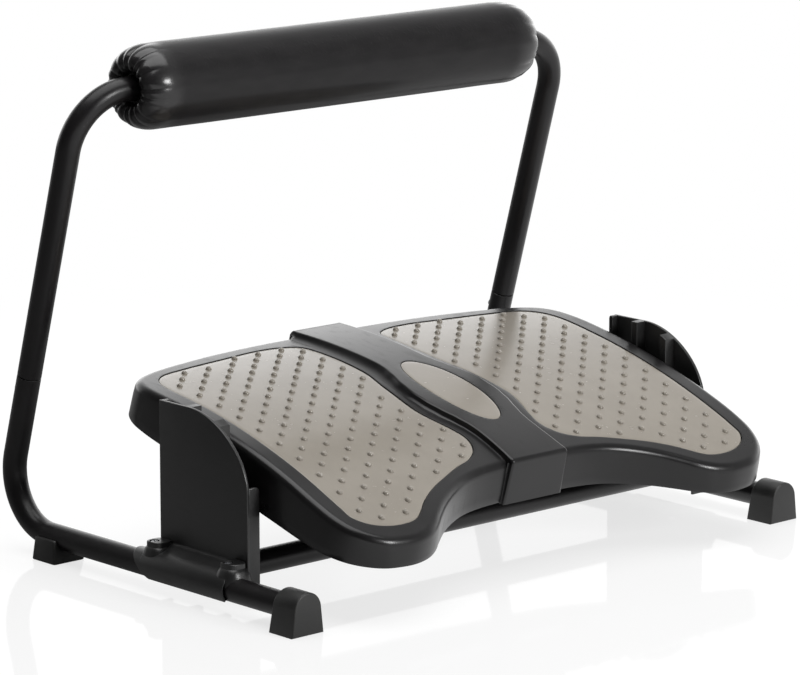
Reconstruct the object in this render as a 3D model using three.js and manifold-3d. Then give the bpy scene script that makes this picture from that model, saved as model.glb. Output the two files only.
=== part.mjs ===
// Tilting under desk footrest: a bent tube frame with a padded bar, and a curved tread that rocks on an axle.
// Millimetres, +Z up, +X to the user's right, the user in front at -Y. The floor is z = 0.
// Places along Y are measured from the axle's middle seat, and the finished model is then centred in Y.

import * as THREE from 'three';
import { mergeGeometries, mergeVertices } from 'three/addons/utils/BufferGeometryUtils.js';
import Module from 'manifold-3d';

const wasm = await Module();
wasm.setup();

// Fits
const fitGap = 0.3;
const overrun = 1;

// Tube frame
const tubeDiameter = 20;
const tubeWall = 1.5;
const frameSpan = 531;
const tubeFloorGap = 9;
const tubeFrontReach = 137;
const tubeRearReach = 243.8;
const lowerBendRadius = 46.7;
const upperBendRadius = 48.8;
const uprightLeanDegrees = 16.28;
const uprightLength = 382.5;
const seamHeight = 133.9;
const seamGap = 0.4;
const couplerLength = 60;
const couplerWall = 1.2;
const tubeRadius = tubeDiameter / 2;
const tubeBore = tubeRadius - tubeWall;
const sideTubeX = frameSpan / 2;
const sideTubeZ = tubeFloorGap + tubeRadius;
const uprightLean = THREE.MathUtils.degToRad(uprightLeanDegrees);

// Axle seats and the places of the bracket's walls
const axleHeight = 101.86;
const bracketTubeGap = 0.5;
const bracketPlate = 3;
const channelDepth = 10;
const bracketOuterX = sideTubeX - tubeRadius - bracketTubeGap;
const bracketInnerX = bracketOuterX - bracketPlate;
const channelFaceX = bracketInnerX - channelDepth;

// Tread
const treadTiltDegrees = 15.2;
const treadSideGap = 4.3;
const skirtFlare = 1.2;
const skirtDrop = 42.3;
const treadFrontReach = 171;
const treadRearReach = 162.5;
const crownRadius = 720.7;
const crownApexSetback = 3.46;
const crownRise = 30;
const treadHalfWidth = channelFaceX - treadSideGap - skirtFlare;
const skirtBottom = crownRise - skirtDrop;

// Screws, all of one size
const screwRadius = 2;
const screwHeadRadius = 3.8;
const screwHeadHeight = 2.4;
const screwHole = screwRadius + fitGap;

const black = { color: 0x1b1b1b, roughness: 0.45, metalness: 0 };
const tubePaint = new THREE.MeshStandardMaterial({ color: 0x17171a, roughness: 0.35, metalness: 0.3 });
const mouldedBlack = new THREE.MeshStandardMaterial(black);
const rubberBlack = new THREE.MeshStandardMaterial({ ...black, roughness: 0.8 });
const vinylBlack = new THREE.MeshStandardMaterial({ ...black, roughness: 0.25 });
const foamGrey = new THREE.MeshStandardMaterial({ color: 0x5a5a5a, roughness: 1, metalness: 0 });
const padGrey = new THREE.MeshStandardMaterial({ color: 0x9e968d, roughness: 0.5, metalness: 0 });
const zincSteel = new THREE.MeshStandardMaterial({ color: 0x8c8f93, roughness: 0.4, metalness: 0.9 });

// Round sections: a pin's corners lie on its radius, and a hole's flats do, so a pin never cuts its hole.
const tubeSides = 20;
const boreSides = 12;
const screwSides = 8;

function roundLoop(radius, sides) {
  const loop = [];
  for (let side = 0; side < sides; side += 1) {
    const angle = (2 * Math.PI * side) / sides;
    loop.push(new THREE.Vector2(radius * Math.cos(angle), radius * Math.sin(angle)));
  }
  return loop;
}

function holeRadius(radius, sides) {
  return radius / Math.cos(Math.PI / sides);
}

// Shared vertices are merged by place, so that the surface is one closed skin.
function welded(geometry) {
  const skin = geometry.clone();
  skin.deleteAttribute('normal');
  skin.deleteAttribute('uv');
  return mergeVertices(skin);
}

function solid(shape) {
  if (!shape.isBufferGeometry) return shape;
  const skin = welded(shape);
  const vertProperties = Float32Array.from(skin.attributes.position.array);
  const triVerts = Uint32Array.from(skin.index.array);
  return new wasm.Manifold(new wasm.Mesh({ numProp: 3, vertProperties, triVerts }));
}

function join(first, ...others) {
  return others.reduce((whole, other) => whole.add(solid(other)), solid(first));
}

function cut(first, ...others) {
  return others.reduce((whole, other) => whole.subtract(solid(other)), solid(first));
}

function common(first, ...others) {
  return others.reduce((whole, other) => whole.intersect(solid(other)), solid(first));
}

function skinOf(shape) {
  if (shape.isBufferGeometry) return shape;
  const mesh = shape.getMesh();
  const geometry = new THREE.BufferGeometry();
  geometry.setAttribute('position', new THREE.BufferAttribute(mesh.vertProperties, 3));
  geometry.setIndex(new THREE.BufferAttribute(mesh.triVerts, 1));
  return geometry;
}

// The other side's copy of a piece, with its faces turned back outwards.
function mirrored(shape) {
  const geometry = welded(skinOf(shape)).scale(-1, 1, 1);
  const corners = geometry.index.array;
  for (let corner = 0; corner < corners.length; corner += 3) {
    [corners[corner], corners[corner + 1]] = [corners[corner + 1], corners[corner]];
  }
  return geometry;
}

function piece(name, shape, material) {
  const mesh = new THREE.Mesh(welded(skinOf(shape)), material.clone());
  mesh.name = name;
  return mesh;
}

function pair(group, name, shape, material) {
  group.add(piece(`right_${name}`, shape, material));
  group.add(piece(`left_${name}`, mirrored(shape), material));
}

const axisX = new THREE.Vector3(1, 0, 0);
const axisY = new THREE.Vector3(0, 1, 0);
const axisZ = new THREE.Vector3(0, 0, 1);

// Outlines drawn in (y, z), (x, z) or (x, y), given their thickness along the third axis.
function alongX(loop, from, to) {
  const geometry = alongZ(loop, 0, to - from);
  geometry.applyMatrix4(new THREE.Matrix4().makeBasis(axisY, axisZ, axisX));
  return geometry.translate(from, 0, 0);
}

function alongY(loop, from, to) {
  const geometry = alongZ(loop, 0, to - from);
  geometry.applyMatrix4(new THREE.Matrix4().makeBasis(axisX, axisZ, axisY.clone().negate()));
  return geometry.translate(0, to, 0);
}

function alongZ(loop, from, to) {
  const shape = new THREE.Shape(loop);
  const geometry = new THREE.ExtrudeGeometry(shape, { depth: to - from, bevelEnabled: false });
  return geometry.translate(0, 0, from);
}

function block(x0, x1, y0, y1, z0, z1) {
  const geometry = new THREE.BoxGeometry(x1 - x0, y1 - y0, z1 - z0);
  return geometry.translate((x0 + x1) / 2, (y0 + y1) / 2, (z0 + z1) / 2);
}

function spots(...pairs) {
  return pairs.map(([across, along]) => new THREE.Vector2(across, along));
}

// A round bar along X, Y or Z between two places on that axis; a hole is a bar with its flats on the radius.
function barAlong(axis, radius, sides, from, to) {
  const geometry = new THREE.CylinderGeometry(radius, radius, to - from, sides);
  geometry.translate(0, (from + to) / 2, 0);
  if (axis === axisX) geometry.rotateZ(-Math.PI / 2);
  if (axis === axisZ) geometry.rotateX(Math.PI / 2);
  return geometry;
}

function holeAlong(axis, radius, sides, from, to) {
  return barAlong(axis, holeRadius(radius, sides), sides, from, to);
}

// A route of straight runs and round bends. Its parameter is spread evenly over its steps, so that a
// straight run takes one step and each bend takes bendSteps.
class BentRoute extends THREE.Curve {
  constructor(corners, bendRadius, bendSteps) {
    super();
    this.points = [corners[0].clone()];
    this.tangents = [corners[1].clone().sub(corners[0]).normalize()];
    for (let corner = 1; corner < corners.length - 1; corner += 1) {
      this.addBend(corners[corner], corners[corner + 1], bendRadius, bendSteps);
    }
    this.points.push(corners.at(-1).clone());
    this.tangents.push(this.tangents.at(-1).clone());
    this.steps = this.points.length - 1;
  }

  addBend(corner, next, bendRadius, bendSteps) {
    const before = this.tangents.at(-1);
    const after = next.clone().sub(corner).normalize();
    const turn = before.angleTo(after);
    const axis = before.clone().cross(after).normalize();
    const start = corner.clone().addScaledVector(before, -bendRadius * Math.tan(turn / 2));
    const inward = axis.clone().cross(before);
    const centre = start.clone().addScaledVector(inward, bendRadius);
    for (let step = 0; step <= bendSteps; step += 1) {
      const angle = (turn * step) / bendSteps;
      const spoke = inward.clone().multiplyScalar(-bendRadius).applyAxisAngle(axis, angle);
      this.points.push(centre.clone().add(spoke));
      this.tangents.push(before.clone().applyAxisAngle(axis, angle));
    }
  }

  getUtoTmapping(share) {
    return share;
  }

  getPoint(share, target = new THREE.Vector3()) {
    const place = share * this.steps;
    const step = Math.min(Math.floor(place), this.steps - 1);
    return target.lerpVectors(this.points[step], this.points[step + 1], place - step);
  }

  getTangent(share, target = new THREE.Vector3()) {
    return target.copy(this.tangents[Math.min(Math.round(share * this.steps), this.steps)]);
  }
}

function tubeAlong(route) {
  const section = new THREE.Shape(roundLoop(tubeRadius, tubeSides));
  section.holes.push(new THREE.Path(roundLoop(holeRadius(tubeBore, boreSides), boreSides)));
  return new THREE.ExtrudeGeometry(section, { extrudePath: route, steps: route.steps });
}

// Revolved about Z from a profile of (radius, height).
function turned(profile, sides) {
  return new THREE.LatheGeometry(profile, sides).rotateX(Math.PI / 2);
}

// A screw with its head's underside at the origin, its shank down -Z and a round driver recess.
const driverRecessRadius = 1.8;
const driverRecessDepth = 1.4;

function screw(shankLength) {
  const recessFloor = screwHeadHeight - driverRecessDepth;
  const profile = spots(
    [0, -shankLength],
    [screwRadius, -shankLength],
    [screwRadius, 0],
    [screwHeadRadius, 0],
    [screwHeadRadius, screwHeadHeight],
    [driverRecessRadius, screwHeadHeight],
    [driverRecessRadius, recessFloor],
    [0, recessFloor],
  );
  return turned(profile, screwSides);
}

function driven(name, shankLength, place, turnX) {
  const mesh = piece(name, screw(shankLength), zincSteel);
  mesh.position.copy(place);
  mesh.rotation.x = turnX;
  return mesh;
}

function drivenPair(group, name, shankLength, place, turnX = 0) {
  group.add(driven(`right_${name}`, shankLength, place, turnX));
  group.add(driven(`left_${name}`, shankLength, place.clone().setX(-place.x), turnX));
}

// Side brackets: a plate inboard of the base tube, with the channels that the trunnions drop into.
const bracketTop = 151.5;
const bracketLow = 12;
const bracketFront = 56;
const bracketRear = 51.5;
const crestFront = 15.6;
const shoulderHeight = 92;
const crestHandleShare = 0.5;
const crestSteps = 8;
const flangeThickness = 3;
const ribThickness = 7;
const ribPitch = 34.6;
const frontFlangeTop = 98;
const frontFlangeRound = 4;
const rearFlangeDepth = 6.5;
const seatStep = 20;
const seatFloor = 4;
const seatCheekShare = 0.75;
const trunnionRadius = 13;
const trunnionPlay = 2;

// The sleeve that covers the top and the outboard side of the base tube, and its two screw bosses.
const sleeveWall = 2.2;
const sleeveWrapDegrees = 45;
const sleeveSteps = 8;
const sleeveFront = 52;
const sleeveRearTop = 74;
const sleeveRearBottom = 34;
const webRise = 7.1;
const webFillet = 1.7;
const bossRise = 7.7;
const bossWidth = 16.2;
const bossLength = 17;
const bossRound = 6;
const bossRoundSteps = 3;
const bossFrontY = -45.5;
const bossRearY = 46;
const bossRecessDepth = 2.6;
const sleeveOuter = tubeRadius + fitGap + sleeveWall;
const bossTop = sideTubeZ + sleeveOuter + bossRise;
const bracketScrewLength = 14;

// Cross tube
const crossTubeY = -27.7;
const crossTubeZ = 28.8;
const socketWall = 2.7;
const socketDepth = 12;
const socketScrewInset = 6;
const socketScrewLength = 7;

function bracketPlateLoop() {
  const crest = new THREE.CubicBezierCurve(
    new THREE.Vector2(crestFront, bracketTop),
    new THREE.Vector2(crestFront - crestHandleShare * (crestFront + bracketFront), bracketTop),
    new THREE.Vector2(-bracketFront, shoulderHeight + crestHandleShare * (bracketTop - shoulderHeight)),
    new THREE.Vector2(-bracketFront, shoulderHeight),
  );
  return [
    ...spots([-bracketFront, bracketLow], [bracketRear, bracketLow], [bracketRear, bracketTop]),
    ...crest.getPoints(crestSteps),
  ];
}

function plateTopAt(y) {
  const loop = bracketPlateLoop();
  for (let corner = 3; corner < loop.length - 1; corner += 1) {
    const [rear, front] = [loop[corner], loop[corner + 1]];
    if (y <= rear.x && y >= front.x) {
      return THREE.MathUtils.mapLinear(y, rear.x, front.x, rear.y, front.y);
    }
  }
  return bracketTop;
}

function channelRib(y) {
  const front = y - ribThickness / 2;
  const rear = y + ribThickness / 2;
  return block(channelFaceX, bracketOuterX - overrun, front, rear, bracketLow, plateTopAt(front));
}

function frontFlange() {
  const inner = channelFaceX;
  const outer = bracketOuterX - overrun;
  const top = frontFlangeTop;
  const loop = spots(
    [inner, bracketLow],
    [outer, bracketLow],
    [outer, top],
    [inner + frontFlangeRound, top],
    [inner, top - frontFlangeRound],
  );
  return alongY(loop, -bracketFront, -bracketFront + flangeThickness);
}

// A seat fills its channel from wall to wall and is hollowed for the trunnion.
function trunnionSeat(front, rear, centreY, centreZ) {
  const seatRadius = trunnionRadius + fitGap;
  const low = centreZ - seatRadius - seatFloor;
  const high = centreZ - seatRadius * (1 - seatCheekShare);
  const inner = channelFaceX;
  const outer = bracketInnerX + overrun;
  const hollow = holeAlong(axisX, seatRadius, tubeSides, inner - overrun, outer + overrun);
  return cut(
    block(inner, outer, front - overrun, rear + overrun, low, high),
    hollow.translate(0, centreY, centreZ),
  );
}

// In (x, z) about the tube's axis: round over the top from the plate to below the outboard side, and back.
function sleeveLoop() {
  const wrap = THREE.MathUtils.degToRad(sleeveWrapDegrees);
  const inner = holeRadius(tubeRadius + fitGap, tubeSides);
  const outside = [];
  const inside = [];
  for (let step = 0; step <= sleeveSteps; step += 1) {
    const angle = Math.PI - ((Math.PI + wrap) * step) / sleeveSteps;
    const ray = new THREE.Vector2(Math.cos(angle), Math.sin(angle));
    outside.push(ray.clone().multiplyScalar(sleeveOuter));
    inside.push(ray.clone().multiplyScalar(inner));
  }
  return [...outside, ...inside.reverse()];
}

// The sloping web that carries the sleeve's top up to the plate. The tube's room is cut out of it later.
function webLoop() {
  const plateFaceX = -tubeRadius - bracketTubeGap;
  const topZ = sleeveOuter + webRise;
  const shoulder = sleeveLoop()[sleeveSteps / 2];
  return spots(
    [plateFaceX - overrun, 0],
    [0, 0],
    [shoulder.x, shoulder.y],
    [plateFaceX + webFillet, topZ - webFillet],
    [plateFaceX, topZ],
    [plateFaceX - overrun, topZ],
  );
}

function roundedBlockLoop(halfX, halfY, round) {
  const corners = spots([1, 1], [-1, 1], [-1, -1], [1, -1]);
  return corners.flatMap((corner, index) => {
    const centre = new THREE.Vector2(corner.x * (halfX - round), corner.y * (halfY - round));
    const arc = [];
    for (let step = 0; step <= bossRoundSteps; step += 1) {
      const angle = (Math.PI / 2) * (index + step / bossRoundSteps);
      arc.push(centre.clone().add(new THREE.Vector2(round * Math.cos(angle), round * Math.sin(angle))));
    }
    return arc;
  });
}

function sleeveBoss(y) {
  const loop = roundedBlockLoop(bossWidth / 2, bossLength / 2, bossRound);
  return alongZ(loop, sideTubeZ, bossTop).translate(bracketOuterX - overrun + bossWidth / 2, y, 0);
}

function bossBore(y) {
  const floor = bossTop - bossRecessDepth;
  const headRoom = holeAlong(axisZ, screwHeadRadius + fitGap, boreSides, floor, bossTop + overrun);
  const shankRoom = holeAlong(axisZ, screwHole, boreSides, sideTubeZ, bossTop);
  return join(headRoom, shankRoom).translate([sideTubeX, y, 0]);
}

function sideBracket() {
  const far = frameSpan;
  const sleeveSide = spots(
    [-sleeveFront, 0],
    [sleeveRearBottom, 0],
    [sleeveRearTop, bossTop],
    [-sleeveFront, bossTop],
  );
  const sleeve = alongY(sleeveLoop(), -far, far).translate(sideTubeX, 0, sideTubeZ);
  const web = alongY(webLoop(), -sleeveFront, bracketRear).translate(sideTubeX, 0, sideTubeZ);
  const ribY = ribPitch / 2;
  const ribHalf = ribThickness / 2;
  const flangeFace = -bracketFront + flangeThickness;
  const rearFace = bracketRear - flangeThickness;
  const seatRoom = (rearFace - ribY - ribHalf) / 2;
  const rearFlangeX = bracketInnerX - rearFlangeDepth;
  const socketFace = bracketInnerX - socketDepth;
  const socketRadius = tubeRadius + fitGap + socketWall;
  const walls = join(
    alongX(bracketPlateLoop(), bracketInnerX, bracketOuterX),
    frontFlange(),
    block(rearFlangeX, bracketInnerX + overrun, rearFace, bracketRear, bracketLow, bracketTop),
    channelRib(ribY),
    channelRib(-ribY),
    trunnionSeat(-ribY + ribHalf, ribY - ribHalf, 0, axleHeight),
    trunnionSeat(ribY + ribHalf, rearFace - overrun, ribY + ribHalf + seatRoom, axleHeight + seatStep),
    trunnionSeat(flangeFace, -ribY - ribHalf, (flangeFace - ribY - ribHalf) / 2, axleHeight - seatStep),
    barAlong(axisX, socketRadius, tubeSides, socketFace, bracketInnerX + overrun)
      .translate(0, crossTubeY, crossTubeZ),
  );
  const clamp = common(sleeve, alongX(sleeveSide, 0, far));
  const tubeRoom = holeAlong(axisY, tubeRadius + fitGap, tubeSides, -far, far);
  const socketRoom = holeAlong(axisX, tubeRadius + fitGap, tubeSides, 0, bracketInnerX);
  const socketScrewRoom = holeAlong(axisZ, screwHole, boreSides, 0, crossTubeZ);
  return cut(
    join(walls, clamp, web, sleeveBoss(bossFrontY), sleeveBoss(bossRearY)),
    tubeRoom.translate(sideTubeX, 0, sideTubeZ),
    socketRoom.translate(0, crossTubeY, crossTubeZ),
    socketScrewRoom.translate(bracketInnerX - socketScrewInset, crossTubeY, 0),
    bossBore(bossFrontY),
    bossBore(bossRearY),
  );
}

// Feet: caps on the front tube ends, and saddle blocks at the foot of the rear bends.
const frontFootLength = 25.4;
const frontFootWall = 3;
const footHalfWidth = 16;
const frontFootRound = 13.6;
const frontFootTop = 33.8;
const frontFootArcSteps = 10;
const rearFootFloorLength = 30;
const rearFootTopLength = 26;
const rearFootTopHalfWidth = 12.6;
const rearFootFloorFront = 156.5;
const rearFootScrewLength = 8;
const rearFootPlug = 5;

function frontFoot() {
  const front = -tubeFrontReach - fitGap - frontFootWall;
  const loop = spots([-footHalfWidth, 0], [footHalfWidth, 0]);
  for (let step = 0; step <= frontFootArcSteps; step += 1) {
    const angle = (Math.PI * step) / frontFootArcSteps;
    const across = frontFootRound * Math.cos(angle);
    loop.push(new THREE.Vector2(across, frontFootTop - frontFootRound * (1 - Math.sin(angle))));
  }
  const rear = front + frontFootLength;
  const shell = alongY(loop, front, rear);
  const room = holeAlong(axisY, tubeRadius + fitGap, tubeSides, front + frontFootWall, rear + overrun);
  return cut(shell, room.translate(0, 0, sideTubeZ)).translate([sideTubeX, 0, 0]);
}

function rearFoot() {
  const floorRear = rearFootFloorFront + rearFootFloorLength;
  const section = spots(
    [-footHalfWidth, 0],
    [footHalfWidth, 0],
    [rearFootTopHalfWidth, sideTubeZ],
    [-rearFootTopHalfWidth, sideTubeZ],
  );
  const side = spots(
    [rearFootFloorFront, 0],
    [floorRear, 0],
    [floorRear, sideTubeZ],
    [floorRear - rearFootTopLength, sideTubeZ],
  );
  const shell = common(alongY(section, 0, 2 * floorRear), alongX(side, -frameSpan, frameSpan));
  const room = holeAlong(axisY, tubeRadius + fitGap, tubeSides, 0, 2 * floorRear);
  const screwY = (rearFootFloorFront + floorRear) / 2;
  const headRoom = holeAlong(axisZ, screwHeadRadius + fitGap, boreSides, -overrun, rearFootPlug);
  const shankRoom = holeAlong(axisZ, screwHole, boreSides, 0, sideTubeZ);
  return cut(
    shell,
    room.translate(0, 0, sideTubeZ),
    headRoom.translate(0, screwY, 0),
    shankRoom.translate(0, screwY, 0),
  ).translate([sideTubeX, 0, 0]);
}

// Base tube, with holes for the bracket, foot and coupler screws.
const bendSteps = 6;
const couplerScrewDrop = 15;
const couplerScrewLength = 5;

function baseTube() {
  const corner = new THREE.Vector3(sideTubeX, tubeRearReach, sideTubeZ);
  const uprightWay = new THREE.Vector3(0, -Math.sin(uprightLean), Math.cos(uprightLean));
  const route = new BentRoute([
    new THREE.Vector3(sideTubeX, -tubeFrontReach, sideTubeZ),
    corner,
    corner.clone().addScaledVector(uprightWay, seamHeight - seamGap / 2),
  ], lowerBendRadius, bendSteps);
  const topHole = () => holeAlong(axisZ, screwHole, boreSides, sideTubeZ, sideTubeZ + tubeDiameter);
  const footHole = holeAlong(axisZ, screwHole, boreSides, 0, sideTubeZ);
  const couplerHole = holeAlong(axisY, screwHole, boreSides, 0, tubeDiameter);
  couplerHole.translate(0, 0, seamHeight - couplerScrewDrop).rotateX(uprightLean);
  return cut(
    tubeAlong(route),
    topHole().translate(sideTubeX, bossFrontY, 0),
    topHole().translate(sideTubeX, bossRearY, 0),
    footHole.translate(sideTubeX, rearFootFloorFront + rearFootFloorLength / 2, 0),
    couplerHole.translate(corner.x, corner.y, corner.z),
  );
}

function crossTube() {
  const half = bracketInnerX - fitGap;
  const route = new BentRoute([
    new THREE.Vector3(-half, crossTubeY, crossTubeZ),
    new THREE.Vector3(half, crossTubeY, crossTubeZ),
  ], 0, 0);
  const screwX = bracketInnerX - socketScrewInset;
  const screwRoom = () => holeAlong(axisZ, screwHole, boreSides, 0, crossTubeZ);
  return cut(
    tubeAlong(route),
    screwRoom().translate(screwX, crossTubeY, 0),
    screwRoom().translate(-screwX, crossTubeY, 0),
  );
}

// Upper bar, couplers and roller are drawn in the plane of the uprights, with z along them.
function upperBar() {
  const foot = seamHeight + seamGap / 2;
  const route = new BentRoute([
    new THREE.Vector3(-sideTubeX, 0, foot),
    new THREE.Vector3(-sideTubeX, 0, uprightLength),
    new THREE.Vector3(sideTubeX, 0, uprightLength),
    new THREE.Vector3(sideTubeX, 0, foot),
  ], upperBendRadius, bendSteps);
  return tubeAlong(route);
}

function coupler() {
  const outer = tubeBore - fitGap;
  const inner = outer - couplerWall;
  const half = couplerLength / 2;
  const sleeve = turned(spots(
    [outer, -half],
    [outer, half],
    [inner, half],
    [inner, -half],
    [outer, -half],
  ), boreSides);
  const screwRoom = holeAlong(axisY, screwHole, boreSides, 0, tubeDiameter);
  screwRoom.translate(0, 0, -couplerScrewDrop);
  return cut(sleeve, screwRoom).translate([sideTubeX, 0, seamHeight]);
}

// Padded roller: a foam core on the crossbar in a vinyl cover whose ends are gathered round the tube.
const rollerRadius = 35;
const coverThickness = 1.6;
const shoulderLength = 25;
const puffRadius = 21;
const dimpleDepth = 8;
const foamEndGap = 13;
const foamChamfer = 9;
const pleatCount = 20;
const pleatDepth = 1.3;
const pleatStartShare = 0.35;
const hemPleatShare = 0.35;
const outsideSteps = { shoulder: 5, dimple: 3 };
const insideSteps = { shoulder: 3, dimple: 1 };
const foamSides = 20;
const drawCordRadius = 1.1;
const drawCordGap = 0.25;
const drawCordSides = 4;
const drawCordSteps = 16;
const rollerHalf = sideTubeX - upperBendRadius;

// Half profile of the cover from its middle out: place along the tube, radius, and share of the pleats.
function coverHalfProfile(inset, steps) {
  const profile = [];
  const shoulder = rollerHalf - shoulderLength;
  const swell = rollerRadius - puffRadius - inset;
  for (let step = 0; step <= steps.shoulder; step += 1) {
    const turn = (Math.PI / 2) * (step / steps.shoulder);
    const pleat = Math.max(0, step / steps.shoulder - pleatStartShare) / (1 - pleatStartShare);
    profile.push({
      along: shoulder + (shoulderLength - inset) * Math.sin(turn),
      radius: puffRadius + swell * Math.cos(turn),
      pleat,
    });
  }
  for (let step = 1; step <= steps.dimple; step += 1) {
    const turn = (Math.PI / 2) * (step / steps.dimple);
    profile.push({
      along: rollerHalf - dimpleDepth + (dimpleDepth - inset) * Math.cos(turn),
      radius: puffRadius - (dimpleDepth - inset) * Math.sin(turn),
      pleat: 1 - (1 - hemPleatShare) * (step / steps.dimple),
    });
  }
  return profile;
}

function rollerCover() {
  const outside = coverHalfProfile(0, outsideSteps);
  const inside = coverHalfProfile(coverThickness, insideSteps);
  const otherEnd = (profile) => profile.map((ring) => ({ ...ring, along: -ring.along })).reverse();
  const rings = [
    ...otherEnd(outside),
    ...outside,
    ...inside.toReversed(),
    ...otherEnd(inside).toReversed(),
  ];
  const around = 2 * pleatCount;
  const positions = [];
  const faces = [];
  rings.forEach((ring) => {
    for (let spoke = 0; spoke < around; spoke += 1) {
      const angle = (2 * Math.PI * spoke) / around;
      const fold = spoke % 2 === 0 ? 0 : -pleatDepth * ring.pleat;
      const radius = ring.radius + fold;
      positions.push(ring.along, radius * Math.cos(angle), radius * Math.sin(angle));
    }
  });
  for (let ring = 0; ring < rings.length; ring += 1) {
    const next = (ring + 1) % rings.length;
    for (let spoke = 0; spoke < around; spoke += 1) {
      const beside = (spoke + 1) % around;
      const near = [ring * around + spoke, ring * around + beside];
      const far = [next * around + spoke, next * around + beside];
      faces.push(near[0], far[1], far[0], near[0], near[1], far[1]);
    }
  }
  const geometry = new THREE.BufferGeometry();
  geometry.setAttribute('position', new THREE.Float32BufferAttribute(positions, 3));
  geometry.setIndex(faces);
  return geometry;
}

function rollerFoam() {
  const outer = rollerRadius - coverThickness - fitGap;
  const inner = holeRadius(tubeRadius + fitGap, foamSides);
  const half = rollerHalf - foamEndGap;
  const profile = spots(
    [inner, -half],
    [outer - foamChamfer, -half],
    [outer, -half + 2 * foamChamfer],
    [outer, half - 2 * foamChamfer],
    [outer - foamChamfer, half],
    [inner, half],
    [inner, -half],
  );
  return turned(profile, foamSides).rotateY(Math.PI / 2);
}

function drawCord() {
  const ring = tubeRadius + fitGap + drawCordGap + drawCordRadius;
  const along = rollerHalf - dimpleDepth - drawCordGap - drawCordRadius;
  const geometry = new THREE.TorusGeometry(ring, drawCordRadius, drawCordSides, drawCordSteps);
  return geometry.rotateY(Math.PI / 2).translate(along, 0, 0);
}

// Tread surfaces: y and z here are along and above the tread, from the axle. The crown is round about an
// axis parallel to X, and a height is measured square to it.
function crownHeight(y, height) {
  const reach = y + crownApexSetback;
  return crownRise - crownRadius + Math.sqrt((crownRadius + height) ** 2 - reach ** 2);
}

function crownSlope(y) {
  return Math.asin((y + crownApexSetback) / crownRadius);
}

const crownSteps = 12;
const crownReachShare = 1.1;

function belowCrown(height) {
  const reach = crownReachShare * Math.max(treadFrontReach, treadRearReach);
  const loop = spots([-reach, -skirtDrop], [reach, -skirtDrop]);
  for (let step = 0; step <= crownSteps; step += 1) {
    const y = THREE.MathUtils.lerp(reach, -reach, step / crownSteps);
    loop.push(new THREE.Vector2(y, crownHeight(y, height)));
  }
  return solid(alongX(loop, -frameSpan, frameSpan));
}

function onCrown(object, x, y, height) {
  const slope = crownSlope(y);
  object.rotateX(-slope);
  const foot = crownHeight(y, 0);
  return object.translate(x, y + height * Math.sin(slope), foot + height * Math.cos(slope));
}

function smoothLoop(corners, stepsEach) {
  const route = new THREE.CatmullRomCurve3(level(corners, 0), true);
  const places = route.getPoints(corners.length * stepsEach).slice(0, -1);
  return places.map((spot) => new THREE.Vector2(spot.x, spot.y));
}

// A share along is of the front reach where it is negative, and of the rear reach where it is positive.
function treadSpots(shares) {
  return shares.map(([acrossShare, alongShare]) => {
    const reach = alongShare < 0 ? treadFrontReach : treadRearReach;
    return new THREE.Vector2(acrossShare * treadHalfWidth, alongShare * reach);
  });
}

function bothSides(half) {
  const other = half.filter((spot) => spot.x > 0).map((spot) => new THREE.Vector2(-spot.x, spot.y));
  return [...half, ...other.reverse()];
}

function offsetLoop(loop, distance) {
  return loop.map((spot, index) => {
    const before = spot.clone().sub(loop.at(index - 1)).normalize();
    const after = loop[(index + 1) % loop.length].clone().sub(spot).normalize();
    const along = before.add(after).normalize();
    const lean = Math.abs(along.dot(after));
    return spot.clone().add(new THREE.Vector2(along.y, -along.x).multiplyScalar(distance / lean));
  });
}

// A closed skin over rings of (x, y, z) that all have as many corners, each ring joined to the next.
function ringSkin(rings, closed) {
  const around = rings[0].length;
  const positions = rings.flat().flatMap((spot) => [spot.x, spot.y, spot.z]);
  const faces = [];
  const last = closed ? rings.length : rings.length - 1;
  for (let ring = 0; ring < last; ring += 1) {
    const next = (ring + 1) % rings.length;
    for (let corner = 0; corner < around; corner += 1) {
      const beside = (corner + 1) % around;
      const near = [ring * around + corner, ring * around + beside];
      const far = [next * around + corner, next * around + beside];
      faces.push(near[0], near[1], far[1], near[0], far[1], far[0]);
    }
  }
  if (!closed) {
    const flat = rings[0].map((spot) => new THREE.Vector2(spot.x, spot.y));
    const top = (rings.length - 1) * around;
    THREE.ShapeUtils.triangulateShape(flat, []).forEach(([a, b, c]) => {
      faces.push(c, b, a, top + a, top + b, top + c);
    });
  }
  const geometry = new THREE.BufferGeometry();
  geometry.setAttribute('position', new THREE.Float32BufferAttribute(positions, 3));
  geometry.setIndex(faces);
  return geometry;
}

function level(loop, z) {
  return loop.map((spot) => new THREE.Vector3(spot.x, spot.y, z));
}

// The skirt's walls, wider at the foot than at the crown by the flare.
function skirtPrism(loop, from, to) {
  const flareAt = (z) => (skirtFlare * (crownRise - z)) / skirtDrop;
  return ringSkin([from, to].map((z) => level(offsetLoop(loop, flareAt(z)), z)), false);
}

// What to take off along a loop's edge, for a bevel that starts inset from it and ends drop below.
const bevelOverrunShare = 0.6;

function bevelCutter(loop, inset, top, drop) {
  const inner = offsetLoop(loop, -inset * (1 + bevelOverrunShare));
  const outer = offsetLoop(loop, inset * bevelOverrunShare);
  const rise = drop * bevelOverrunShare;
  const rings = [
    inner.map((spot) => new THREE.Vector3(spot.x, spot.y, crownHeight(spot.y, top + rise))),
    outer.map((spot) => new THREE.Vector3(spot.x, spot.y, crownHeight(spot.y, top - drop - rise))),
    outer.map((spot) => new THREE.Vector3(spot.x, spot.y, crownHeight(spot.y, top + 2 * rise))),
  ];
  return ringSkin(rings, true);
}

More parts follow.
